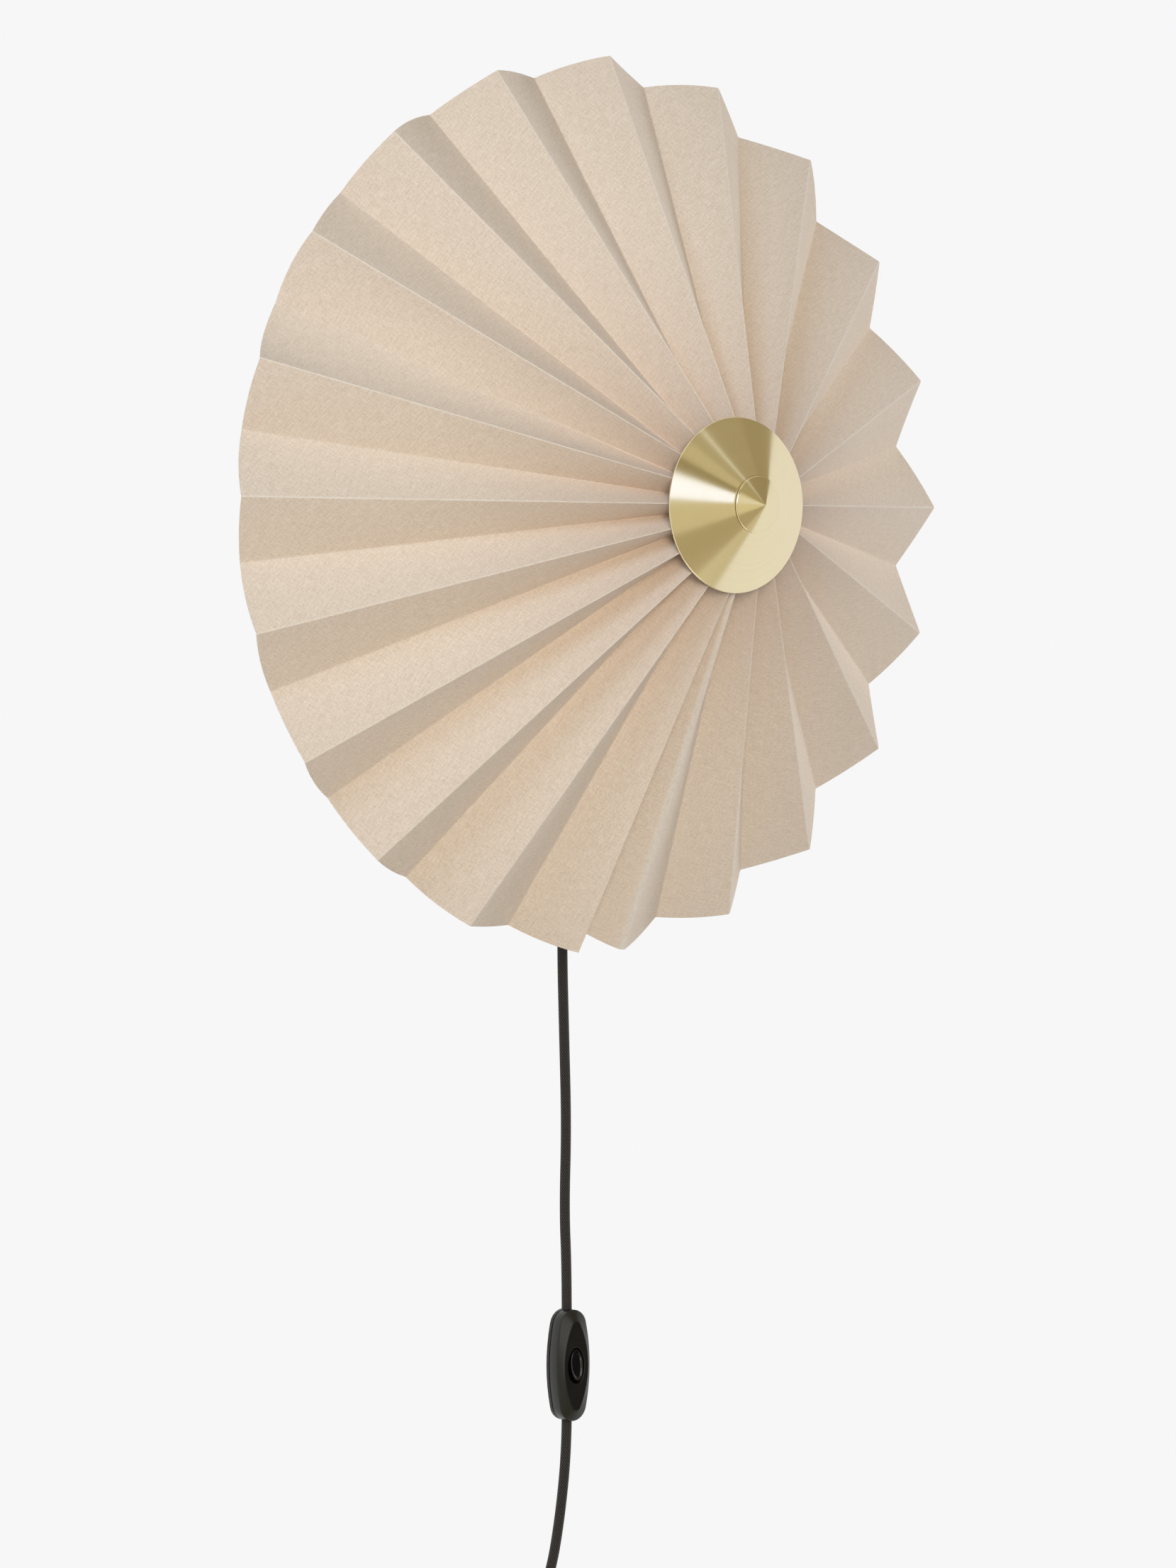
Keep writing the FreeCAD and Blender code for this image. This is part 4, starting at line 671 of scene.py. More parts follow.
def bridged(rings: Sequence[Sequence[int]]) -> list[tuple[int, ...]]:
    """Joins closed rings of equal length.

    Args:
        rings: Point numbers of each ring; a ring may be one point repeated.

    Returns:
        The faces.
    """
    faces = []
    for near, far in zip(rings, rings[1:]):
        for step in range(len(near)):
            following = (step + 1) % len(near)
            corners = [near[step], near[following], far[following], far[step]]
            unique = list(dict.fromkeys(corners))
            if len(unique) > 2:
                faces.append(tuple(unique))
    return faces


# ---------------------------------------------------------------- pleated shade

def unit(vectors: np.ndarray) -> np.ndarray:
    """Vectors of length 1."""
    return vectors / np.maximum(np.linalg.norm(vectors, axis=-1, keepdims=True), 1e-12)


@dataclass
class PleatedShade:
    """One strip of linen laminate in flat pleats round the hub, lapped at its seam.

    A wave is its share of the warp, its number from the rim to the hub and its shift from one
    panel to the next.
    """

    mountain_radius: float = 0.2250
    mountain_depth: float = 0.0400
    mountain_rise: float = 0.545
    valley_radius: float = 0.2154
    valley_depth: float = 0.0229
    valley_rise: float = 0.59
    hub_radius: float = 0.030
    thickness: float = 0.0007
    lap_gap: float = 0.0003
    pleats: int = 20
    lap: float = 7.3
    seam: float = 271.8
    lap_valley_radius: float = 0.2065
    drift: tuple[float, float, float] = (1.16, -1.33, -0.97)
    uneven: dict[int, float] = field(default_factory=lambda: {1: 0.8, 2: -0.6, 17: 0.5, 19: -0.4})
    uneven_valleys: dict[int, float] = field(default_factory=lambda: {
        1: 0.5, 2: -0.55, 5: 0.35, 10: -0.45, 18: -0.45, 19: -0.65, 20: 0.4})
    soft_valley: int = 14
    soft_share: float = 0.5
    soft_fade: float = 0.8
    soft_mountain_fold: int = 2
    crease: float = 0.0007
    soft_crease: float = 0.0040
    bulge: float = 0.0011
    soft_bulge: float = 0.0022
    bulge_swing: float = 0.35
    bulge_beat: float = 2.3
    warp: float = 0.0004
    waves: tuple[Point, ...] = ((1.0, 1.25, 0.37), (0.6, 2.6, 0.61))
    # Mark of the columns beside a ridge's middle, for the paler ridge line of crease wear and
    # painted highlight.
    ridge_side_mark: float = 0.6
    # Where the painted shade towards the hub begins, as a share from the rim, and how fast it
    # grows.
    hub_shade_start: float = 0.35
    hub_shade_power: float = 1.5
    nudge: float = 0.004
    rows: int = 30
    columns: int = 6

    def mountain_angle(self, index: int) -> float:
        """Finds a mountain fold; the pleats drift a little round the ring.

        Args:
            index: Number of the fold from the seam.

        Returns:
            Its degrees round the hub.
        """
        even = self.seam + index * (360.0 - self.lap) / self.pleats
        turn = math.radians(even)
        all_round, sideways, twice = self.drift
        shift = all_round + sideways * math.cos(turn) + twice * math.sin(2.0 * turn)
        return even + shift + self.uneven.get(index, 0.0)

    def ray(self, angle: float, shares: np.ndarray, valley: bool, start: float) -> np.ndarray:
        """Points along one fold.

        Args:
            angle: Degrees round the hub.
            shares: Places from the fold's outer end, 0, to the hub, 1.
            valley: Whether the fold is a valley.
            start: Radius of its outer end.

        Returns:
            One point for each share.
        """
        rim, depth, rise = ((self.valley_radius, self.valley_depth, self.valley_rise) if valley
                            else (self.mountain_radius, self.mountain_depth, self.mountain_rise))
        radius = start + shares * (self.hub_radius - start)
        turn = math.radians(angle)
        return np.stack([radius * math.cos(turn), -(depth + rise * (rim - radius)),
                         radius * math.sin(turn)], axis=1)

    def folds(self, shares: np.ndarray) -> np.ndarray:
        """Finds every fold in order.

        Args:
            shares: Places from the rim, 0, to the hub, 1.

        Returns:
            The points of the hidden riser's top, then of valleys and mountains in turn.
        """
        mountains = [self.mountain_angle(i) for i in range(self.pleats + 1)]
        first = mountains[0] - (mountains[1] - mountains[0]) / 2.0
        valleys = [first] + [(a + b) / 2.0 + self.uneven_valleys.get(index, 0.0)
                             for index, (a, b) in enumerate(zip(mountains, mountains[1:]), 1)]
        lines = []
        for index, (valley, mountain) in enumerate(zip(valleys, mountains)):
            start = self.valley_radius if index else self.lap_valley_radius
            lines += [self.ray(valley, shares, True, start),
                      self.ray(mountain, shares, False, self.mountain_radius)]
        along = unit(lines[-1] - lines[-2])
        foot = lines[-2] + along * np.sum((lines[0] - lines[-2]) * along, axis=1, keepdims=True)
        riser = foot + unit(lines[0] - foot) * (self.thickness + self.lap_gap)
        return np.array([riser] + lines)

    def panel(self, folds: np.ndarray, index: int, shares: np.ndarray, place: np.ndarray
              ) -> np.ndarray:
        """Points across one panel.

        Args:
            folds: Every fold's points.
            index: Number of the panel, which is its first fold's.
            shares: Places from the rim to the hub, one for each row.
            place: For each row, places across the panel from 0 to 1.

        Returns:
            Points as rows and columns.
        """
        near, far = folds[index], folds[index + 1]
        start, end = near[:, None], far[:, None]
        t = place[..., None]
        fade = (1.0 - shares)[:, None, None]
        flat = start + (end - start) * t
        centre = 2 * self.soft_valley + 1
        if index in (centre - 1, centre):
            bend = self.bend(*folds[centre - 1:centre + 2], place, index == centre)
            flat = flat + (bend - flat) * self.soft_share * fade ** self.soft_fade
        inwards = unit(near[-1] + far[-1] - near[0] - far[0])
        across = unit(end - start)
        outwards = -inwards + across * np.sum(inwards * across, axis=-1, keepdims=True)
        normal = np.cross(across, inwards)
        swell = (self.soft_bulge if index == self.soft_mountain_fold
                 else self.bulge * (1.0 + self.bulge_swing * math.sin(self.bulge_beat * index)))
        crown = 4.0 * t * (1.0 - t)
        wave = sum(size * np.sin(math.tau * (number * shares + shift * index))
                   for size, number, shift in self.waves)[:, None, None]
        return (flat + outwards * swell * crown * fade ** 2
                + normal * self.warp * wave * crown * fade)

    @staticmethod
    def bend(left: np.ndarray, low: np.ndarray, right: np.ndarray, place: np.ndarray,
             second: bool) -> np.ndarray:
        """Bends round through three folds, in place of a crisp valley.

        Args:
            left: Points of the mountain before the valley.
            low: Points of the valley.
            right: Points of the mountain after it.
            place: For each row, places across the panel from 0 to 1.
            second: Whether the panel is the one after the valley.

        Returns:
            Points as rows and columns.
        """
        a, b = left - low, right - low
        cross = np.cross(a, b)
        size = np.sum(cross ** 2, axis=1, keepdims=True)
        centre = low + (np.cross(cross, a) * np.sum(b * b, axis=1, keepdims=True)
                        + np.cross(b, cross) * np.sum(a * a, axis=1, keepdims=True)) / (2.0 * size)
        radius = np.linalg.norm(low - centre, axis=1)[:, None, None]
        down = unit(low - centre)[:, None]
        side = unit((right if second else left) - centre)[:, None]
        angle = np.arccos(np.clip(np.sum(down * side, axis=-1, keepdims=True), -1.0, 1.0))
        square = unit(side - down * np.cos(angle))
        turn = angle * (place if second else 1.0 - place)[..., None]
        return centre[:, None] + radius * (down * np.cos(turn) + square * np.sin(turn))

    def grids(self) -> list[np.ndarray]:
        """Lays out the panels and the creases between them.

        Returns:
            Front points, back points, normals, flat places and ridge marks, each as rows and
            columns.
        """
        shares = np.linspace(0.0, 1.0, self.rows + 1)
        folds = self.folds(shares)
        layout = self.unfolded(folds)
        last = len(folds) - 1
        steps = np.linspace(0.0, 1.0, self.columns + 1)[None, :]
        parts = []
        for index in range(last):
            width = np.linalg.norm(folds[index + 1] - folds[index], axis=1)
            near = self.width_of(index, last) / width
            far = self.width_of(index + 1, last) / width
            place = near[:, None] + (1.0 - near - far)[:, None] * steps
            points, after, before = (self.panel(folds, index, shares, place + step)
                                     for step in (0.0, self.nudge, -self.nudge))
            normals = unit(np.cross(after - before, np.gradient(points, axis=0)))
            rim, hub = (layout[index:index + 2, end] for end in (0, 1))
            s, t = shares[:, None, None], place[..., None]
            start, end = (rim[side] * (1 - s) + hub[side] * s for side in (0, 1))
            parts.append((points, normals, start + (end - start) * t))
        blocks = []
        for index, (points, normals, flat) in enumerate(parts):
            blocks.append((points, points - normals * self.thickness, normals, flat,
                           np.zeros(points.shape[:2])))
            if index + 1 < last:
                blocks.append(self.rounded(parts[index], parts[index + 1], folds[index + 1],
                                           index % 2 == 1))
        return [np.concatenate(block, axis=1) for block in zip(*blocks)]

    def width_of(self, index: int, last: int) -> float:
        """Finds how far from a fold its rounding starts; the strip's ends have none.

        Args:
            index: Number of the fold.
            last: Number of the last fold.

        Returns:
            The distance.
        """
        if index in (0, last):
            return 0.0
        return self.soft_crease if index == self.soft_mountain_fold else self.crease

    def rounded(self, left: Sequence[np.ndarray], right: Sequence[np.ndarray], fold: np.ndarray,
                ridge: bool) -> list[np.ndarray]:
        """Makes three columns that round a fold between two panels.

        Args:
            left: Points, normals and flat places of the panel before the fold.
            right: The same of the panel after it.
            fold: The fold's points.
            ridge: Whether it is a mountain, whose ridge is marked paler, partly as crease wear and
                partly as a painted highlight.

        Returns:
            Their front points, back points, normals, flat places and ridge marks.
        """
        (a, na, flat_a), (b, nb, flat_b) = ([grid[:, -1] for grid in left],
                                            [grid[:, 0] for grid in right])
        middle = unit(na + nb)
        lean = np.sum(middle * na, axis=1, keepdims=True)
        corner = fold - middle * (self.thickness / lean)
        columns = []
        for u in (0.25, 0.5, 0.75):
            first, second, third = (1 - u) ** 2, 2 * u * (1 - u), u ** 2
            columns.append((
                first * a + second * fold + third * b,
                first * (a - na * self.thickness) + second * corner
                + third * (b - nb * self.thickness),
                unit(na * (1 - u) + nb * u), flat_a * (1 - u) + flat_b * u,
                np.full(len(a), (1.0 if u == 0.5 else self.ridge_side_mark) if ridge else 0.0)))
        return [np.stack(block, axis=1) for block in zip(*columns)]

    @staticmethod
    def unfolded(folds: np.ndarray) -> np.ndarray:
        """Lays the strip flat, panel by panel.

        Args:
            folds: Every fold's points.

        Returns:
            The ends of every fold on the flat strip, as (fold, rim or hub, x or y).
        """
        rims, hubs = folds[:, 0], folds[:, -1]
        flat = [np.array([[0.0, 0.0], [0.0, -np.linalg.norm(hubs[0] - rims[0])]])]
        for index in range(1, len(folds)):
            rim, hub = flat[-1]
            length = np.linalg.norm(hub - rim)
            step = (hub - rim) / length
            ends = []
            for target in (rims[index], hubs[index]):
                to_rim = np.linalg.norm(target - rims[index - 1])
                to_hub = np.linalg.norm(target - hubs[index - 1])
                along = (to_rim ** 2 - to_hub ** 2 + length ** 2) / (2.0 * length)
                off = math.sqrt(max(to_rim ** 2 - along ** 2, 0.0))
                ends.append(rim + step * along + np.array([-step[1], step[0]]) * off)
            flat.append(np.array(ends))
        return np.array(flat)

    def build(self, face: Material, lining: Material) -> Piece:
        """Args:
            face: Finish of the front.
            lining: Finish of the back and the cut edges.

        Returns:
            The shade.
        """
        front, back, normals, flat, marks = self.grids()
        rows, count = front.shape[:2]
        total = rows * count
        grid = np.arange(total).reshape(rows, count)
        faces = []
        for i in range(rows - 1):
            for j in range(count - 1):
                a, b, c, d = grid[i, j], grid[i, j + 1], grid[i + 1, j + 1], grid[i + 1, j]
                faces += [(a, b, c, d), (d + total, c + total, b + total, a + total)]
        sides = len(faces)
        rim = [*grid[0], *grid[1:, -1], *grid[-1, -2::-1], *grid[-2:0:-1, 0]]
        faces += [(b, a, a + total, b + total) for a, b in zip(rim, rim[1:] + rim[:1])]
        vertices = np.concatenate([front.reshape(-1, 3), back.reshape(-1, 3)])
        shade = add_piece("linen_shade", vertices, faces, [face, lining])
        mesh = shade.data
        mesh.polygons.foreach_set("material_index",
                                  [i % 2 if i < sides else 1 for i in range(len(faces))])
        mesh.polygons.foreach_set("use_smooth", [i < sides for i in range(len(faces))])
        loops = np.zeros(len(mesh.loops), dtype=np.int32)
        mesh.loops.foreach_get("vertex_index", loops)
        layout = np.tile(flat.reshape(-1, 2), (2, 1))
        mesh.uv_layers.new(name="flat").data.foreach_set("uv", layout[loops].ravel())
        # Painted shade: a mask that rises from part-way in to full at the hub, to darken the cloth
        # there.
        start = self.hub_shade_start
        inwards = np.clip((np.linspace(0.0, 1.0, rows) - start) / (1.0 - start), 0.0, 1.0)
        painted_hub_shade = np.repeat(inwards ** self.hub_shade_power, count)
        for name, values in (("painted_hub_shade", np.tile(painted_hub_shade, 2)),
                             ("fold", np.concatenate([marks.ravel(), np.zeros(total)]))):
            mesh.attributes.new(name, "FLOAT", "POINT").data.foreach_set("value", values)
        own = np.concatenate([normals.reshape(-1, 3), -normals.reshape(-1, 3)])[loops]
        own[4 * sides:] = 0.0      # the cut edges stay flat
        mesh.normals_split_custom_set(own.tolist())
        fit(shade, Body.LAMP, "shade_fabric", "pleated_shade")
        return shade


# ---------------------------------------------------------------- brass hub

@dataclass
class BrassHub:
    """The spun cone over the pleats and the finial nut that clamps it."""

    cone_radius: float = 0.0430
    cone_depth: float = 0.1412
    top_radius: float = 0.0142
    top_depth: float = 0.1562
    sheet: float = 0.0009
    tip_depth: float = 0.1626
    tip_radius: float = 0.0004
    boss_radius: float = 0.0076
    boss_length: float = 0.008
    bore: float = 0.00505
    bore_end: float = 0.1584
    gap: float = 0.0009
    rim_low: float = 0.0005
    rim_high: float = 0.0010
    rim_top: float = 0.0013
    rim_inset: float = 0.0004
    clearance: float = 0.00005
    blunt: float = 0.0001
    seat: float = 0.00001
    softness: float = 0.0006
    segments: int = 256

    def build(self, metal: Material) -> list[Piece]:
        """Builds both pieces in one finish.

        Args:
            metal: That finish.

        Returns:
            The cone and the finial.
        """
        edge, top, rim, low = self.top_radius, self.top_depth, self.cone_radius, self.cone_depth
        back = self.sheet * math.hypot(rim - edge, top - low) / (rim - edge)
        hole = self.boss_radius + self.clearance
        end, inner, lip = top - self.boss_length, edge - self.gap, top + self.rim_low
        cone = [(hole, top), (edge, top), (rim, low), (rim, low - back), (edge, top - back),
                (hole, top - self.sheet), (hole, top - self.blunt)]
        finial = [(0.0, self.tip_depth), (self.tip_radius, self.tip_depth - self.blunt),
                  (edge - self.rim_inset, top + self.rim_top), (edge, top + self.rim_high),
                  (edge, lip), (inner, lip), (inner, top + 2.0 * self.seat),
                  (self.boss_radius, top + self.seat), (self.boss_radius, end),
                  (self.bore, end), (self.bore, self.bore_end), (0.0, self.bore_end)]
        return [fit(turned(name, softened(profile, self.softness), self.segments, metal),
                    Body.LAMP, "brass", node)
                for name, profile, node in (("brass_hub_cone", cone, "brass_cone"),
                                            ("brass_hub_finial", finial, "finial_nut"))]


# ---------------------------------------------------------------- braided cord

@dataclass
class BraidedCord:
    """The textile cord: one length down to the switch and one from it to the plug.

    The routes are (x, depth, z) in millimetres.
    """

    diameter: float = 0.0052
    sides: int = 20
    step: float = 0.0018
    upper: tuple[Point, ...] = (
        (0.0, 9.5, -71.0), (0.0, 9.5, -113.0), (0.4, 6.6, -166.0), (0.0, 5.5, -220.0),
        (0.0, 7.4, -270.0), (0.0, 9.2, -316.0), (0.0, 7.4, -358.0), (0.0, 9.4, -388.0),
        (0.0, 9.4, -414.7))
    lower: tuple[Point, ...] = (
        (0.0, 9.4, -459.7), (0.0, 9.4, -479.0), (-3.0, 8.2, -513.0), (-9.0, 7.0, -546.0),
        (-25.0, 5.8, -580.0), (-38.0, 5.4, -612.0))
    tail: tuple[Point, ...] = (
        (-38.0, 11.2, -656.0), (-34.0, 10.6, -677.0), (-34.0, 10.6, -692.0))
    inner: tuple[Point, ...] = ((0.0, 9.5, -44.4), (0.0, 9.5, -37.5), (0.0, 9.5, -30.5))
    lead: tuple[Point, ...] = (
        (7.0, 8.0, -15.5), (7.0, 8.0, -9.0), (14.5, 9.5, -1.0), (15.0, 15.0, 8.0),
        (15.0, 32.0, 8.0), (9.0, 43.0, 7.0), (0.0, 46.0, 11.0), (0.0, 46.0, 42.0))
    lead_diameter: float = 0.0044
    short_step: float = 0.0015
    coil_height: float = -640.0
    coil_radius: float = 38.0
    coil_pitch: float = 5.8
    coil_depth: float = 5.4
    coil_turns: int = 7
    coil_steps: int = 16
    climb_turns: float = 0.5

    def coil(self) -> list[Point]:
        """Winds the spare length: it spirals in, climbs a layer and spirals out again.

        Returns:
            The coil's points.
        """
        middle = self.coil_turns / 2.0
        ease = 1.0 / math.cos(math.pi / self.coil_steps)
        points = []
        for step in range(self.coil_turns * self.coil_steps + 1):
            turns = step / self.coil_steps
            radius = (self.coil_radius - self.coil_pitch * (middle - abs(turns - middle))) * ease
            climb = min(max((turns - middle) / self.climb_turns + 0.5, 0.0), 1.0)
            depth = self.coil_depth + self.coil_pitch * (1.0 - math.cos(math.pi * climb)) / 2.0
            angle = math.pi + math.tau * turns
            points.append((radius * math.cos(angle), depth,
                           self.coil_height + radius * math.sin(angle)))
        return points

    @staticmethod
    def line(name: str, route: Sequence[Point], step: float) -> list[Vector]:
        """Lays a smooth line through a route.

        Args:
            name: Name of the line.
            route: (x, depth, z) points in millimetres.
            step: Distance between the points of the line.

        Returns:
            Points along the line, in metres.
        """
        curve = bpy.data.curves.new(name, "CURVE")
        curve.dimensions = "3D"
        curve.resolution_u = 24
        spline = curve.splines.new("NURBS")
        spline.points.add(len(route) - 1)
        for point, place in zip(spline.points, route):
            point.co = (*(at(*place) * MILLIMETRE), 1.0)
        spline.order_u = 3
        spline.use_endpoint_u = True
        holder = bpy.data.objects.new(name, curve)
        bpy.context.scene.collection.objects.link(holder)
        bpy.context.view_layer.update()
        graph = bpy.context.evaluated_depsgraph_get()
        mesh = bpy.data.meshes.new_from_object(holder.evaluated_get(graph))
        places = np.array([tuple(vertex.co) for vertex in mesh.vertices])
        bpy.data.objects.remove(holder)
        bpy.data.meshes.remove(mesh)
        gaps = np.linalg.norm(np.diff(places, axis=0), axis=1)
        lengths = np.concatenate([[0.0], np.cumsum(gaps)])
        wanted = np.linspace(0.0, lengths[-1], max(2, int(round(lengths[-1] / step)) + 1))
        columns = [np.interp(wanted, lengths, places[:, axis]) for axis in range(3)]
        return [Vector(row) for row in np.stack(columns, axis=1)]

    def tube(self, name: str, points: Sequence[Vector], diameter: float, material: Material
             ) -> Piece:
        """Makes a round tube with a flat layout of (turn, metres along).

        Args:
            name: Name of the piece.
            points: The line that it follows.
            diameter: Its thickness.
            material: Its finish.

        Returns:
            The tube.
        """
        vertices: list[Vector] = []
        side = Vector((1.0, 0.0, 0.0))
        for index, point in enumerate(points):
            before = points[max(index - 1, 0)]
            along = (points[min(index + 1, len(points) - 1)] - before).normalized()
            side = (side - along * side.dot(along)).normalized()
            other = along.cross(side)
            vertices += [point + (side * cos + other * sin) * (diameter / 2.0)
                         for cos, sin in circle(self.sides)]
        rings = [list(range(i * self.sides, (i + 1) * self.sides)) for i in range(len(points))]
        faces = [*bridged(rings), tuple(reversed(rings[0])), tuple(rings[-1])]
        tube = add_piece(name, vertices, faces, [material])
        turns, last = range(self.sides), len(points) - 1
        corners = [(step + right, ring + up) for ring in range(last) for step in turns
                   for right, up in ((0, 0), (1, 0), (1, 1), (0, 1))]
        corners += [(step, 0) for step in reversed(turns)] + [(step, last) for step in turns]
        flat = np.array(corners) * (1.0 / self.sides, length_of(points) / last)
        tube.data.uv_layers.new(name="along").data.foreach_set("uv", flat.ravel())
        return tube

    def build(self, braid: Material, sheath: Material, nodes: dict[str, Piece],
              switch: Sequence[Piece]) -> list[Piece]:
        """Builds every length.

        Args:
            braid: The textile.
            sheath: The lead's plastic.
            nodes: The model's nodes by name.
            switch: The pieces of the inline switch.

        Returns:
            The two lengths, the stub inside and the lampholder's lead.
        """
        thick, thin, long, short = self.diameter, self.lead_diameter, self.step, self.short_step
        cords = []
        for name, route, step, diameter, finish, slot, stands_for, ends in (
            ("cord_to_switch", self.upper, long, thick, braid, "cord_braid", ["cord_upper"],
             ("fitting", "hanging", [nodes["cord_grip"], *switch])),
            ("cord_to_plug", [*self.lower, *self.coil(), *self.tail], long, thick, braid,
             "cord_braid", ["cord_lower", "cord_coil", "cord_tail"],
             ("plug", "hanging", [nodes["plug_body"], nodes["plug_pins"], nodes["coil_tie"]])),
            ("inner_cord_round", self.inner, short, thick, braid, "cord_braid", ["inner_cord"],
             None),
            ("lampholder_lead_round", self.lead, short, thin, sheath, "lead_sheath",
             ["lampholder_lead"],
             ("object", "taut", [nodes["terminal_block"], nodes["lampholder_body"]])),
        ):
            line = self.line(name + "_line", route, step)
            cord = fit(self.tube(name, line, diameter, finish), Body.LAMP, slot, *stands_for)
            cords.append(cord)
        return cords


def length_of(points: Sequence[Vector]) -> float:
    """Length of a line through points."""
    return sum((b - a).length for a, b in zip(points, points[1:]))


# ---------------------------------------------------------------- inline switch

@dataclass
class InlineSwitch:
    """The front shell and the rocker; the rear cover stays the model's own.

    The edges are rings: how far each stands in from its outline, or out from the well's, and how
    far from its level. The bevel's rings are shares of the way to the face, and their sag.
    """

    height: float = -0.4372
    half_width: float = 0.01075
    half_length: float = 0.0285
    parting: float = 0.0082
    edge_depth: float = 0.01485
    face_depth: float = 0.01725
    face_width: float = 0.00775
    face_length: float = 0.0228
    shoulder: tuple[float, float] = (0.78, 0.755)
    face_shoulder: tuple[float, float] = (0.30, 0.95)
    well_width: float = 0.0053
    well_length: float = 0.0094
    well_drop: float = 0.0070
    rocker_width: float = 0.00365
    rocker_length: float = 0.00785
    rocker_height: float = 0.0070
    proud: float = 0.0009
    dish: float = 0.0550
    pivot_depth: float = 0.01225
    rest_angle: float = -7.0
    back_edge: Rings = ((0.0012, 0.0001), (0.00055, 0.00012), (0.00016, 0.00042), (0.0, 0.00085))
    wall_edge: Rings = ((0.0, 0.0012), (0.0, 0.0007), (0.00003, 0.00035), (0.0001, 0.00012))
    bevel: Rings = ((0.03, 0.00006), (0.10, 0.0), (0.25, -0.00004), (0.5, -0.00006),
                    (0.75, -0.00004), (0.92, 0.0))
    face_edge: Rings = ((0.0, 0.00006), (0.0003, 0.0), (0.0008, 0.0))
    well_edge: Rings = ((0.00045, 0.0), (0.00018, 0.00004), (0.00005, 0.00015), (0.0, 0.0004))
    rocker_edge: Rings = ((0.0, 0.0006), (0.00004, 0.00035), (0.00015, 0.00016),
                          (0.00028, 0.00012), (0.00042, 0.00012))
    hollow_shares: tuple[float, ...] = (0.84, 0.7, 0.5, 0.3, 0.12)
    hollow_drop: float = 0.00045
    rim_drop: float = 0.0002
    end_drop: float = 0.0001
    steps: int = 144

    def outline(self, half_width: float, half_length: float, share: float) -> Outline:
        """Points on the shell's outline: long side arcs joined by round ends.

        Args:
            half_width: Half of its width.
            half_length: Half of its length.
            share: How far its shape has gone over to the face's pointed oval.

        Returns:
            (x, z) points, counter-clockwise from the right.
        """
        corner = Vector([half * ((1.0 - share) * wall + share * face) for half, wall, face
                         in zip((half_width, half_length), self.shoulder, self.face_shoulder)])
        side_radius = self.arc_radius(half_width - corner.x, corner.y)
        end_radius = self.arc_radius(half_length - corner.y, corner.x)
        side_centre = Vector((half_width - side_radius, 0.0))
        end_centre = Vector((0.0, half_length - end_radius))
        points = []
        for cos, sin in circle(self.steps):
            way = Vector((half_width * abs(cos), half_length * abs(sin))).normalized()
            on_side = way.y * corner.x < way.x * corner.y
            centre, radius = ((side_centre, side_radius) if on_side
                              else (end_centre, end_radius))
            along = way.dot(centre)
            reach = along + math.sqrt(max(along ** 2 - centre.length_squared + radius ** 2, 0.0))
            points.append((math.copysign(way.x * reach, cos), math.copysign(way.y * reach, sin)))
        return points

    @staticmethod
    def arc_radius(rise: float, half_chord: float) -> float:
        """Radius of an arc by its rise and half of its chord."""
        return (rise ** 2 + half_chord ** 2) / (2.0 * rise)

    def oval(self, half_width: float, half_length: float) -> Outline:
        """Points on an upright ellipse."""
        return [(half_width * cos, half_length * sin) for cos, sin in circle(self.steps)]

    def lofted(self, name: str, rings: Sequence[tuple[Outline, Any]], material: Material) -> Piece:
        """Joins outlines and closes the last one.

        Args:
            name: Name of the piece.
            rings: Outlines, each with its depth or a function of (x, z) that gives it.
            material: Its finish.

        Returns:
            The new object.
        """
        vertices = [at(x, depth(x, z) if callable(depth) else depth, self.height + z)
                    for points, depth in rings for x, z in points]
        rows = [list(range(i * self.steps, (i + 1) * self.steps)) for i in range(len(rings))]
        return add_piece(name, vertices, [*bridged(rows), tuple(rows[-1])], [material])

    def front_shell(self, material: Material) -> Piece:
        """Builds the deep shell with its rounded edges, bevel, face and well.

        Args:
            material: Its finish.

        Returns:
            The shell.
        """
        wall, face = self.edge_depth, self.face_depth
        rows = [(inset, self.parting + rise, 0.0) for inset, rise in self.back_edge]
        rows += [(inset, wall - drop, 0.0) for inset, drop in self.wall_edge]
        rows += [(0.0, wall + (face - wall) * share - sag, share) for share, sag in self.bevel]
        rows += [(inset, face - drop, 1.0) for inset, drop in self.face_edge]
        rings = []
        for inset, depth, share in rows:
            width = self.half_width + (self.face_width - self.half_width) * share - inset
            length = self.half_length + (self.face_length - self.half_length) * share - inset
            rings.append((self.outline(width, length, share), depth))
        rings += [(self.oval(self.well_width + grow, self.well_length + grow), face - drop)
                  for grow, drop in (*self.well_edge, (0.0, self.well_drop))]
        return fit(self.lofted("switch_front", rings, material),
                   Body.LAMP, "switch_plastic", "switch_front_shell")

    def rocker(self, material: Material) -> Piece:
        """Builds the rocker with a hollow, rimmed face, its top end pressed in.

        Args:
            material: Its finish.

        Returns:
            The rocker.
        """
        top = self.face_depth + self.proud
        rim = top - self.rim_drop
        width, length = self.rocker_width, self.rocker_length
        level = top - self.end_drop + math.sqrt(self.dish ** 2 - length ** 2)

        def hollow(x: float, z: float) -> float:
            """Depth of the hollow face at a place."""
            return level - math.sqrt(self.dish ** 2 - x ** 2 - z ** 2)

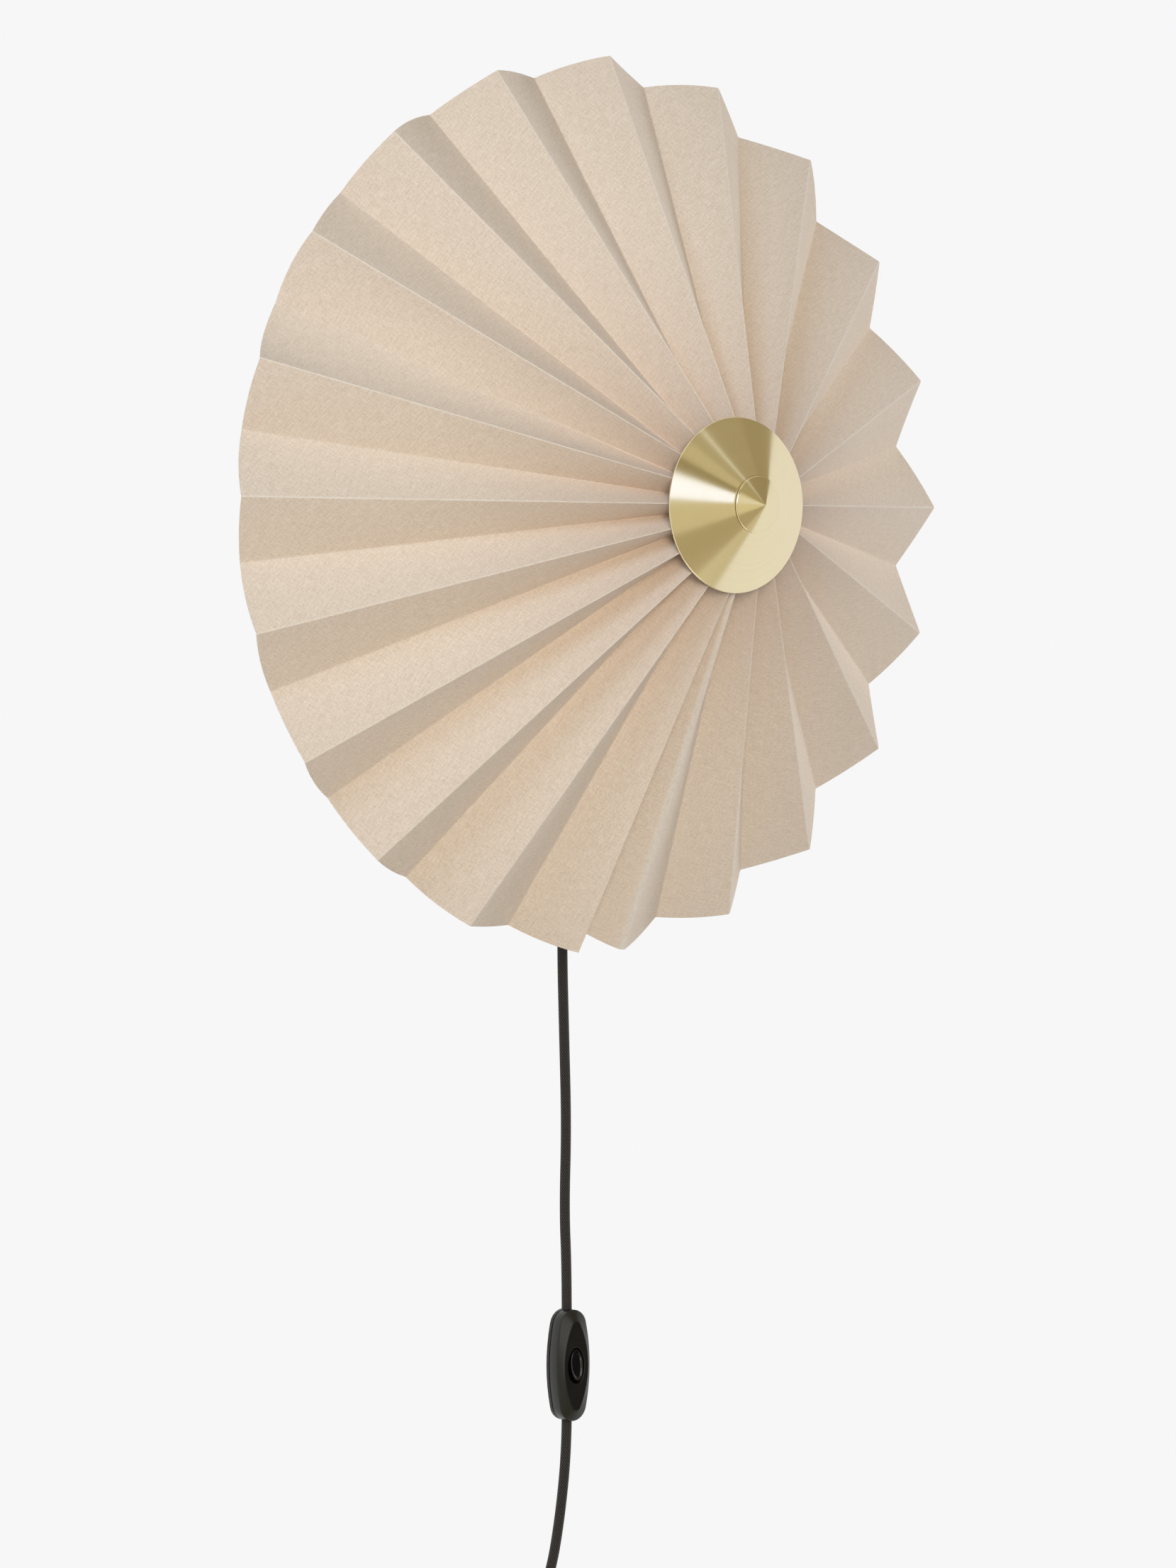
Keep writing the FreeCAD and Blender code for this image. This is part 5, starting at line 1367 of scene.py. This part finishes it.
        rings = [(self.oval(width - inset, length - inset),
                  lambda x, z, drop=drop: max(hollow(x, z), rim) - drop)
                 for inset, drop in ((0.0, self.rocker_height), *self.rocker_edge)]
        rings += [(self.oval(width * share, length * share),
                   lambda x, z: hollow(x, z) - self.hollow_drop) for share in self.hollow_shares]
        rocker = self.lofted("switch_rocker_cap", rings, material)
        turn = math.radians(self.rest_angle)
        pivot = at(0.0, self.pivot_depth, self.height)
        for vertex in rocker.data.vertices:
            off = vertex.co - pivot
            vertex.co = pivot + Vector((off.x, off.y * math.cos(turn) - off.z * math.sin(turn),
                                        off.y * math.sin(turn) + off.z * math.cos(turn)))
        return fit(rocker, Body.ROCKER, "rocker_plastic", "switch_rocker")

    def build(self, shell: Material, gloss: Material) -> list[Piece]:
        """The front shell and the rocker, each in its finish."""
        return [self.front_shell(shell), self.rocker(gloss)]


# ---------------------------------------------------------------- model's own pieces

@dataclass
class Dressing:
    """Finishes for the pieces that the model itself shows."""

    nodes: dict[str, Piece]

    def dress(self, material: Material, names: Sequence[str]) -> None:
        """Gives one finish to several nodes.

        Args:
            material: The finish.
            names: Names of the nodes.
        """
        for node in (self.nodes[name] for name in names):
            if not node.material_slots:
                node.data.materials.append(material)
            for slot in node.material_slots:
                slot.material = material
        LOG.info("%s: %s", material.name, ", ".join(names))

    def build(self, plastic: Material) -> None:
        """Dresses every node that is shown.

        Args:
            plastic: The finish of the switch.
        """
        for finish, names in (
            (PlainMetalFinish("zinc_plate", (0.56, 0.57, 0.58), (0.46, 0.47, 0.47), 0.34),
             ["wall_bracket", "stem_tube", "stem_lock_nut", "stem_front_nut", "seat_nut",
              "lampholder_bracket", "lampholder_nipple", "nipple_nut", "grip_nut",
              "terminal_screws", "switch_screws"]),
            (PlainMetalFinish("canopy_brass", (0.70, 0.58, 0.36), (0.60, 0.49, 0.30), 0.36),
             ["wall_canopy", "canopy_screws"]),
            (PlainMetalFinish("contact_brass", (0.78, 0.62, 0.34), (0.62, 0.47, 0.25), 0.32),
             ["lamp_contact", "lamp_thread_shell", "switch_contacts", "bulb_cap"]),
            (PlainMetalFinish("powder_coat", (0.82, 0.80, 0.76), (0.77, 0.75, 0.71), 0.5, 0.0003,
                              metallic=0.0),
             ["shade_carrier", "shade_seat"]),
            (MouldedFinish("holder_moulding", (0.030, 0.029, 0.028), (0.05, 0.048, 0.046), 0.48),
             ["lampholder_body"]),
            (MouldedFinish("block_moulding", (0.80, 0.80, 0.77), (0.72, 0.72, 0.68), 0.45),
             ["terminal_block"]),
            (MouldedFinish("light_strips", (0.85, 0.72, 0.38), (0.80, 0.66, 0.32), 0.4),
             ["bulb_filament"]),
            (MouldedFinish("strap_pile", (0.030, 0.030, 0.031), (0.055, 0.055, 0.056), 0.85,
                           0.0005, 0.8),
             ["coil_tie"]),
            (MouldedFinish("frosted_glass", (0.95, 0.95, 0.93), (0.95, 0.95, 0.93), 0.35, 0.0006,
                           0.08, clear=0.75, ior=1.46, rise=0.00003, swing=(0.07, 0.07)),
             ["bulb_glass"]),
            (PlainMetalFinish("nickel_pins", (0.66, 0.64, 0.60), (0.58, 0.56, 0.52), 0.22),
             ["plug_pins"]),
        ):
            self.dress(finish.material(), names)
        self.dress(plastic, ["switch_rear_shell", "cord_grip", "plug_body"])


# ---------------------------------------------------------------- camera, lights and floor

@dataclass
class Lamp:
    """One soft rectangular light that mirrors don't see."""

    name: str
    place: Point
    size: float
    power: float
    colour: Colour

    def build(self, target: Vector) -> Piece:
        """Places the light and turns it to a target.

        Args:
            target: What it shines at.

        Returns:
            The light.
        """
        data = bpy.data.lights.new(self.name, "AREA")
        data.shape = "RECTANGLE"
        data.size = data.size_y = self.size
        data.energy = self.power
        data.color = self.colour
        lamp = placed(self.name, data, self.place, target - Vector(self.place))
        lamp.visible_camera = lamp.visible_glossy = False
        return lamp


CONE = (0.65, 0.42)                # tilts of the cards that the cone shows: middle and spread
FINIAL = (0.215, 0.45)             # and of those that the finial shows
SWITCH = (-0.437, 0.015)           # height and depth of the cards that the switch shows


@dataclass
class Card:
    """A sheet that only mirrors see, held where one sector of a piece would show it.

    The angles are degrees round the hub, from ``start`` to ``end``. A tilt is how many radians a
    mirror leans out from the wall's normal.
    """

    name: str
    start: float
    end: float
    glow: Colour
    tilt: float = 0.48
    spread: float = 0.75
    height: float = 0.0
    depth: float = 0.15
    distance: float = 3.0
    steps: int = 12
    rows: int = 10

    @staticmethod
    def mirrored(angle: float, tilt: float, eye: Vector) -> Vector:
        """Where a ray from the eye goes on from a tilted mirror.

        Args:
            angle: Degrees round the hub.
            tilt: Radians by which the mirror leans out.
            eye: Direction from the mirror to the camera.

        Returns:
            A unit vector.
        """
        turn = math.radians(angle)
        normal = at(math.sin(tilt) * math.cos(turn), math.cos(tilt),
                    math.sin(tilt) * math.sin(turn))
        return (normal * 2.0 * normal.dot(eye) - eye).normalized()

    def build(self, camera: Vector) -> Piece:
        """Builds the sheet and hides it from all but mirrors.

        Args:
            camera: Place of the camera.

        Returns:
            The sheet.
        """
        centre = at(0.0, self.depth, self.height)
        eye = (camera - centre).normalized()
        vertices = [
            centre + self.distance * self.mirrored(
                self.start + (self.end - self.start) * step / self.steps,
                self.tilt + (row / self.rows - 0.5) * self.spread, eye)
            for step in range(self.steps + 1) for row in range(self.rows + 1)]
        count = self.rows + 1
        faces = [(i, i + 1, i + count + 1, i + count) for step in range(self.steps)
                 for i in range(step * count, step * count + self.rows)]
        material = bpy.data.materials.new(self.name)
        graph = Graph.blank(material)
        strength = max(self.glow)
        light = graph.node("Emission", tuple(part / strength for part in self.glow), strength)
        graph.node("OutputMaterial", light.outputs[0])
        card = add_piece(self.name, vertices, faces, [material])
        card.visible_camera = card.visible_diffuse = card.visible_shadow = False
        card.visible_transmission = False
        return card


@dataclass
class Studio:
    """The photograph's viewpoint, its lights and its pale room."""

    camera_place: Point = (-1.83922, -2.26879, -0.00531)
    azimuth: float = -39.36
    elevation: float = 2.668
    lens: float = 131.98
    sensor: float = 36.0
    floor_height: float = -1.35
    floor_radius: float = 2.4
    floor_sides: int = 96
    ambient: float = 0.10
    aim: float = 0.09
    lamps: tuple[Lamp, ...] = (
        Lamp("key", (-1.5, -2.6, 0.6), 1.2, 49.5, (1.0, 0.88, 0.72)),
        Lamp("upper", (-2.3, -1.2, 1.9), 1.4, 33.0, (0.62, 0.79, 1.0)),
        Lamp("side", (2.9, -0.6, 0.4), 1.4, 43.0, (0.93, 0.95, 1.0)),
        Lamp("behind", (-0.8, 2.8, 0.9), 1.8, 32.0, (1.0, 0.98, 0.95)),
    )
    cards: tuple[Card, ...] = (
        Card("card_top_right", 59.0, 88.0, (0.40, 0.34, 0.21), *CONE),
        Card("card_top", 88.0, 120.5, (0.46, 0.40, 0.27), *CONE),
        Card("card_upper_left", 123.5, 134.0, (0.50, 0.45, 0.30), *CONE),
        Card("card_left_glint", 134.0, 147.0, (0.66, 0.60, 0.42), *CONE),
        Card("card_left_dark", 147.0, 157.0, (0.28, 0.22, 0.11), *CONE),
        Card("card_window", 159.0, 175.5, (1.36, 1.53, 2.20), *CONE),
        Card("card_low_left", 176.0, 200.0, (0.66, 0.60, 0.42), *CONE),
        Card("card_finial_top", 59.0, 120.5, (0.34, 0.28, 0.16), *FINIAL),
        Card("card_finial_dark", 123.5, 152.0, (0.42, 0.36, 0.20), *FINIAL),
        Card("card_finial_left", 152.0, 200.0, (0.78, 0.72, 0.48), *FINIAL),
        Card("card_low_dark", 200.0, 232.0, (0.47, 0.40, 0.25)),
        Card("card_low_edge", 232.0, 250.0, (0.66, 0.60, 0.44)),
        Card("card_facing", 0.0, 360.0, (0.05, 0.045, 0.04), 0.17, 0.34, *SWITCH, 0.2),
        Card("card_bevel", 135.0, 185.0, (1.9, 1.9, 1.8), 0.47, 0.34, *SWITCH, 0.35),
    )

    def camera(self) -> Piece:
        """Makes the camera and sets it.

        Returns:
            The camera.
        """
        a, e = math.radians(self.azimuth), math.radians(self.elevation)
        back = at(math.sin(a) * math.cos(e), math.cos(a) * math.cos(e), math.sin(e))
        data = bpy.data.cameras.new("photo_view")
        data.lens = self.lens
        data.sensor_width = self.sensor
        data.clip_start, data.clip_end = 0.05, 50.0
        camera = placed("photo_view", data, self.camera_place, -back)
        bpy.context.scene.camera = camera
        return camera

    def room(self) -> None:
        """Makes a pale world for the camera and for reflections, and a softer one for shading."""
        world = bpy.data.worlds.new("pale_room")
        bpy.context.scene.world = world
        graph = Graph.blank(world)
        path = graph.node("LightPath").outputs
        mirrored = graph.math("MAXIMUM", path["Is Glossy Ray"], path["Is Transmission Ray"])
        seen = graph.math("MAXIMUM", path["Is Camera Ray"], mirrored)
        soft = graph.node("Background", (1.0, 1.0, 1.0), self.ambient).outputs[0]
        pale = graph.node("Background", (PAPER, PAPER, PAPER), 1.0).outputs[0]
        mix = graph.node("MixShader", seen, soft, pale).outputs[0]
        graph.node("OutputWorld", mix)

    def floor(self) -> Piece:
        """Makes a round pale floor, well below the lamp; mirrors see past it to the pale room.

        Returns:
            The floor.
        """
        surface = Surface("pale_floor", Run.OBJECT)
        grain = surface.effect(EFFECTS.fine_grain(), Size=0.004)
        colour = surface.graph.blend(grain["Cloud"], (0.86, 0.86, 0.86), (0.88, 0.88, 0.88))
        surface.set(Base_Color=colour, Roughness=0.9)
        ring = [(self.floor_radius * cos, self.floor_radius * sin, self.floor_height)
                for cos, sin in circle(self.floor_sides)]
        floor = add_piece("floor", ring, [tuple(range(self.floor_sides))], [surface.material])
        floor.visible_glossy = floor.visible_transmission = False
        return floor

    def build(self) -> None:
        """Builds the room round the lamp."""
        bpy.context.scene.view_settings.view_transform = "Standard"
        self.room()
        self.floor()
        for lamp in self.lamps:
            lamp.build(at(0.0, self.aim, 0.0))
        for card in self.cards:
            card.build(Vector(self.camera_place))
        LOG.info("studio: %d lights, %d cards", len(self.lamps), len(self.cards))


def main() -> None:
    """Builds the pieces in order."""
    logging.basicConfig(level=logging.INFO, format="%(name)s %(message)s")
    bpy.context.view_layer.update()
    nodes = frame["nodes"]
    studio = Studio()
    studio.camera()
    shell = MouldedFinish("switch_moulding", (0.009, 0.008, 0.0065), (0.012, 0.011, 0.009), 0.33,
                          0.0003, 0.20, 0.0, 0.42).material()
    gloss = MouldedFinish("rocker_moulding", (0.004, 0.004, 0.004), (0.006, 0.006, 0.006), 0.08,
                          0.0006, 0.02, 0.3).material()
    brass = TurnedMetalFinish("satin_brass", (0.87, 0.77, 0.53), (0.81, 0.70, 0.45)).material()
    sheath = MouldedFinish("lead_sheath", (0.74, 0.73, 0.70), (0.66, 0.65, 0.62), 0.5).material()
    switch = [*InlineSwitch().build(shell, gloss), *(nodes[name] for name in (
        "switch_rear_shell", "switch_screws", "switch_contacts"))]
    BraidedCord().build(BraidFinish().material(), sheath, nodes, switch)
    PleatedShade().build(LinenFinish().material(), LiningFinish().material())
    BrassHub().build(brass)
    Dressing(nodes).build(shell)
    studio.build()


if __name__ == "__main__":
    main()
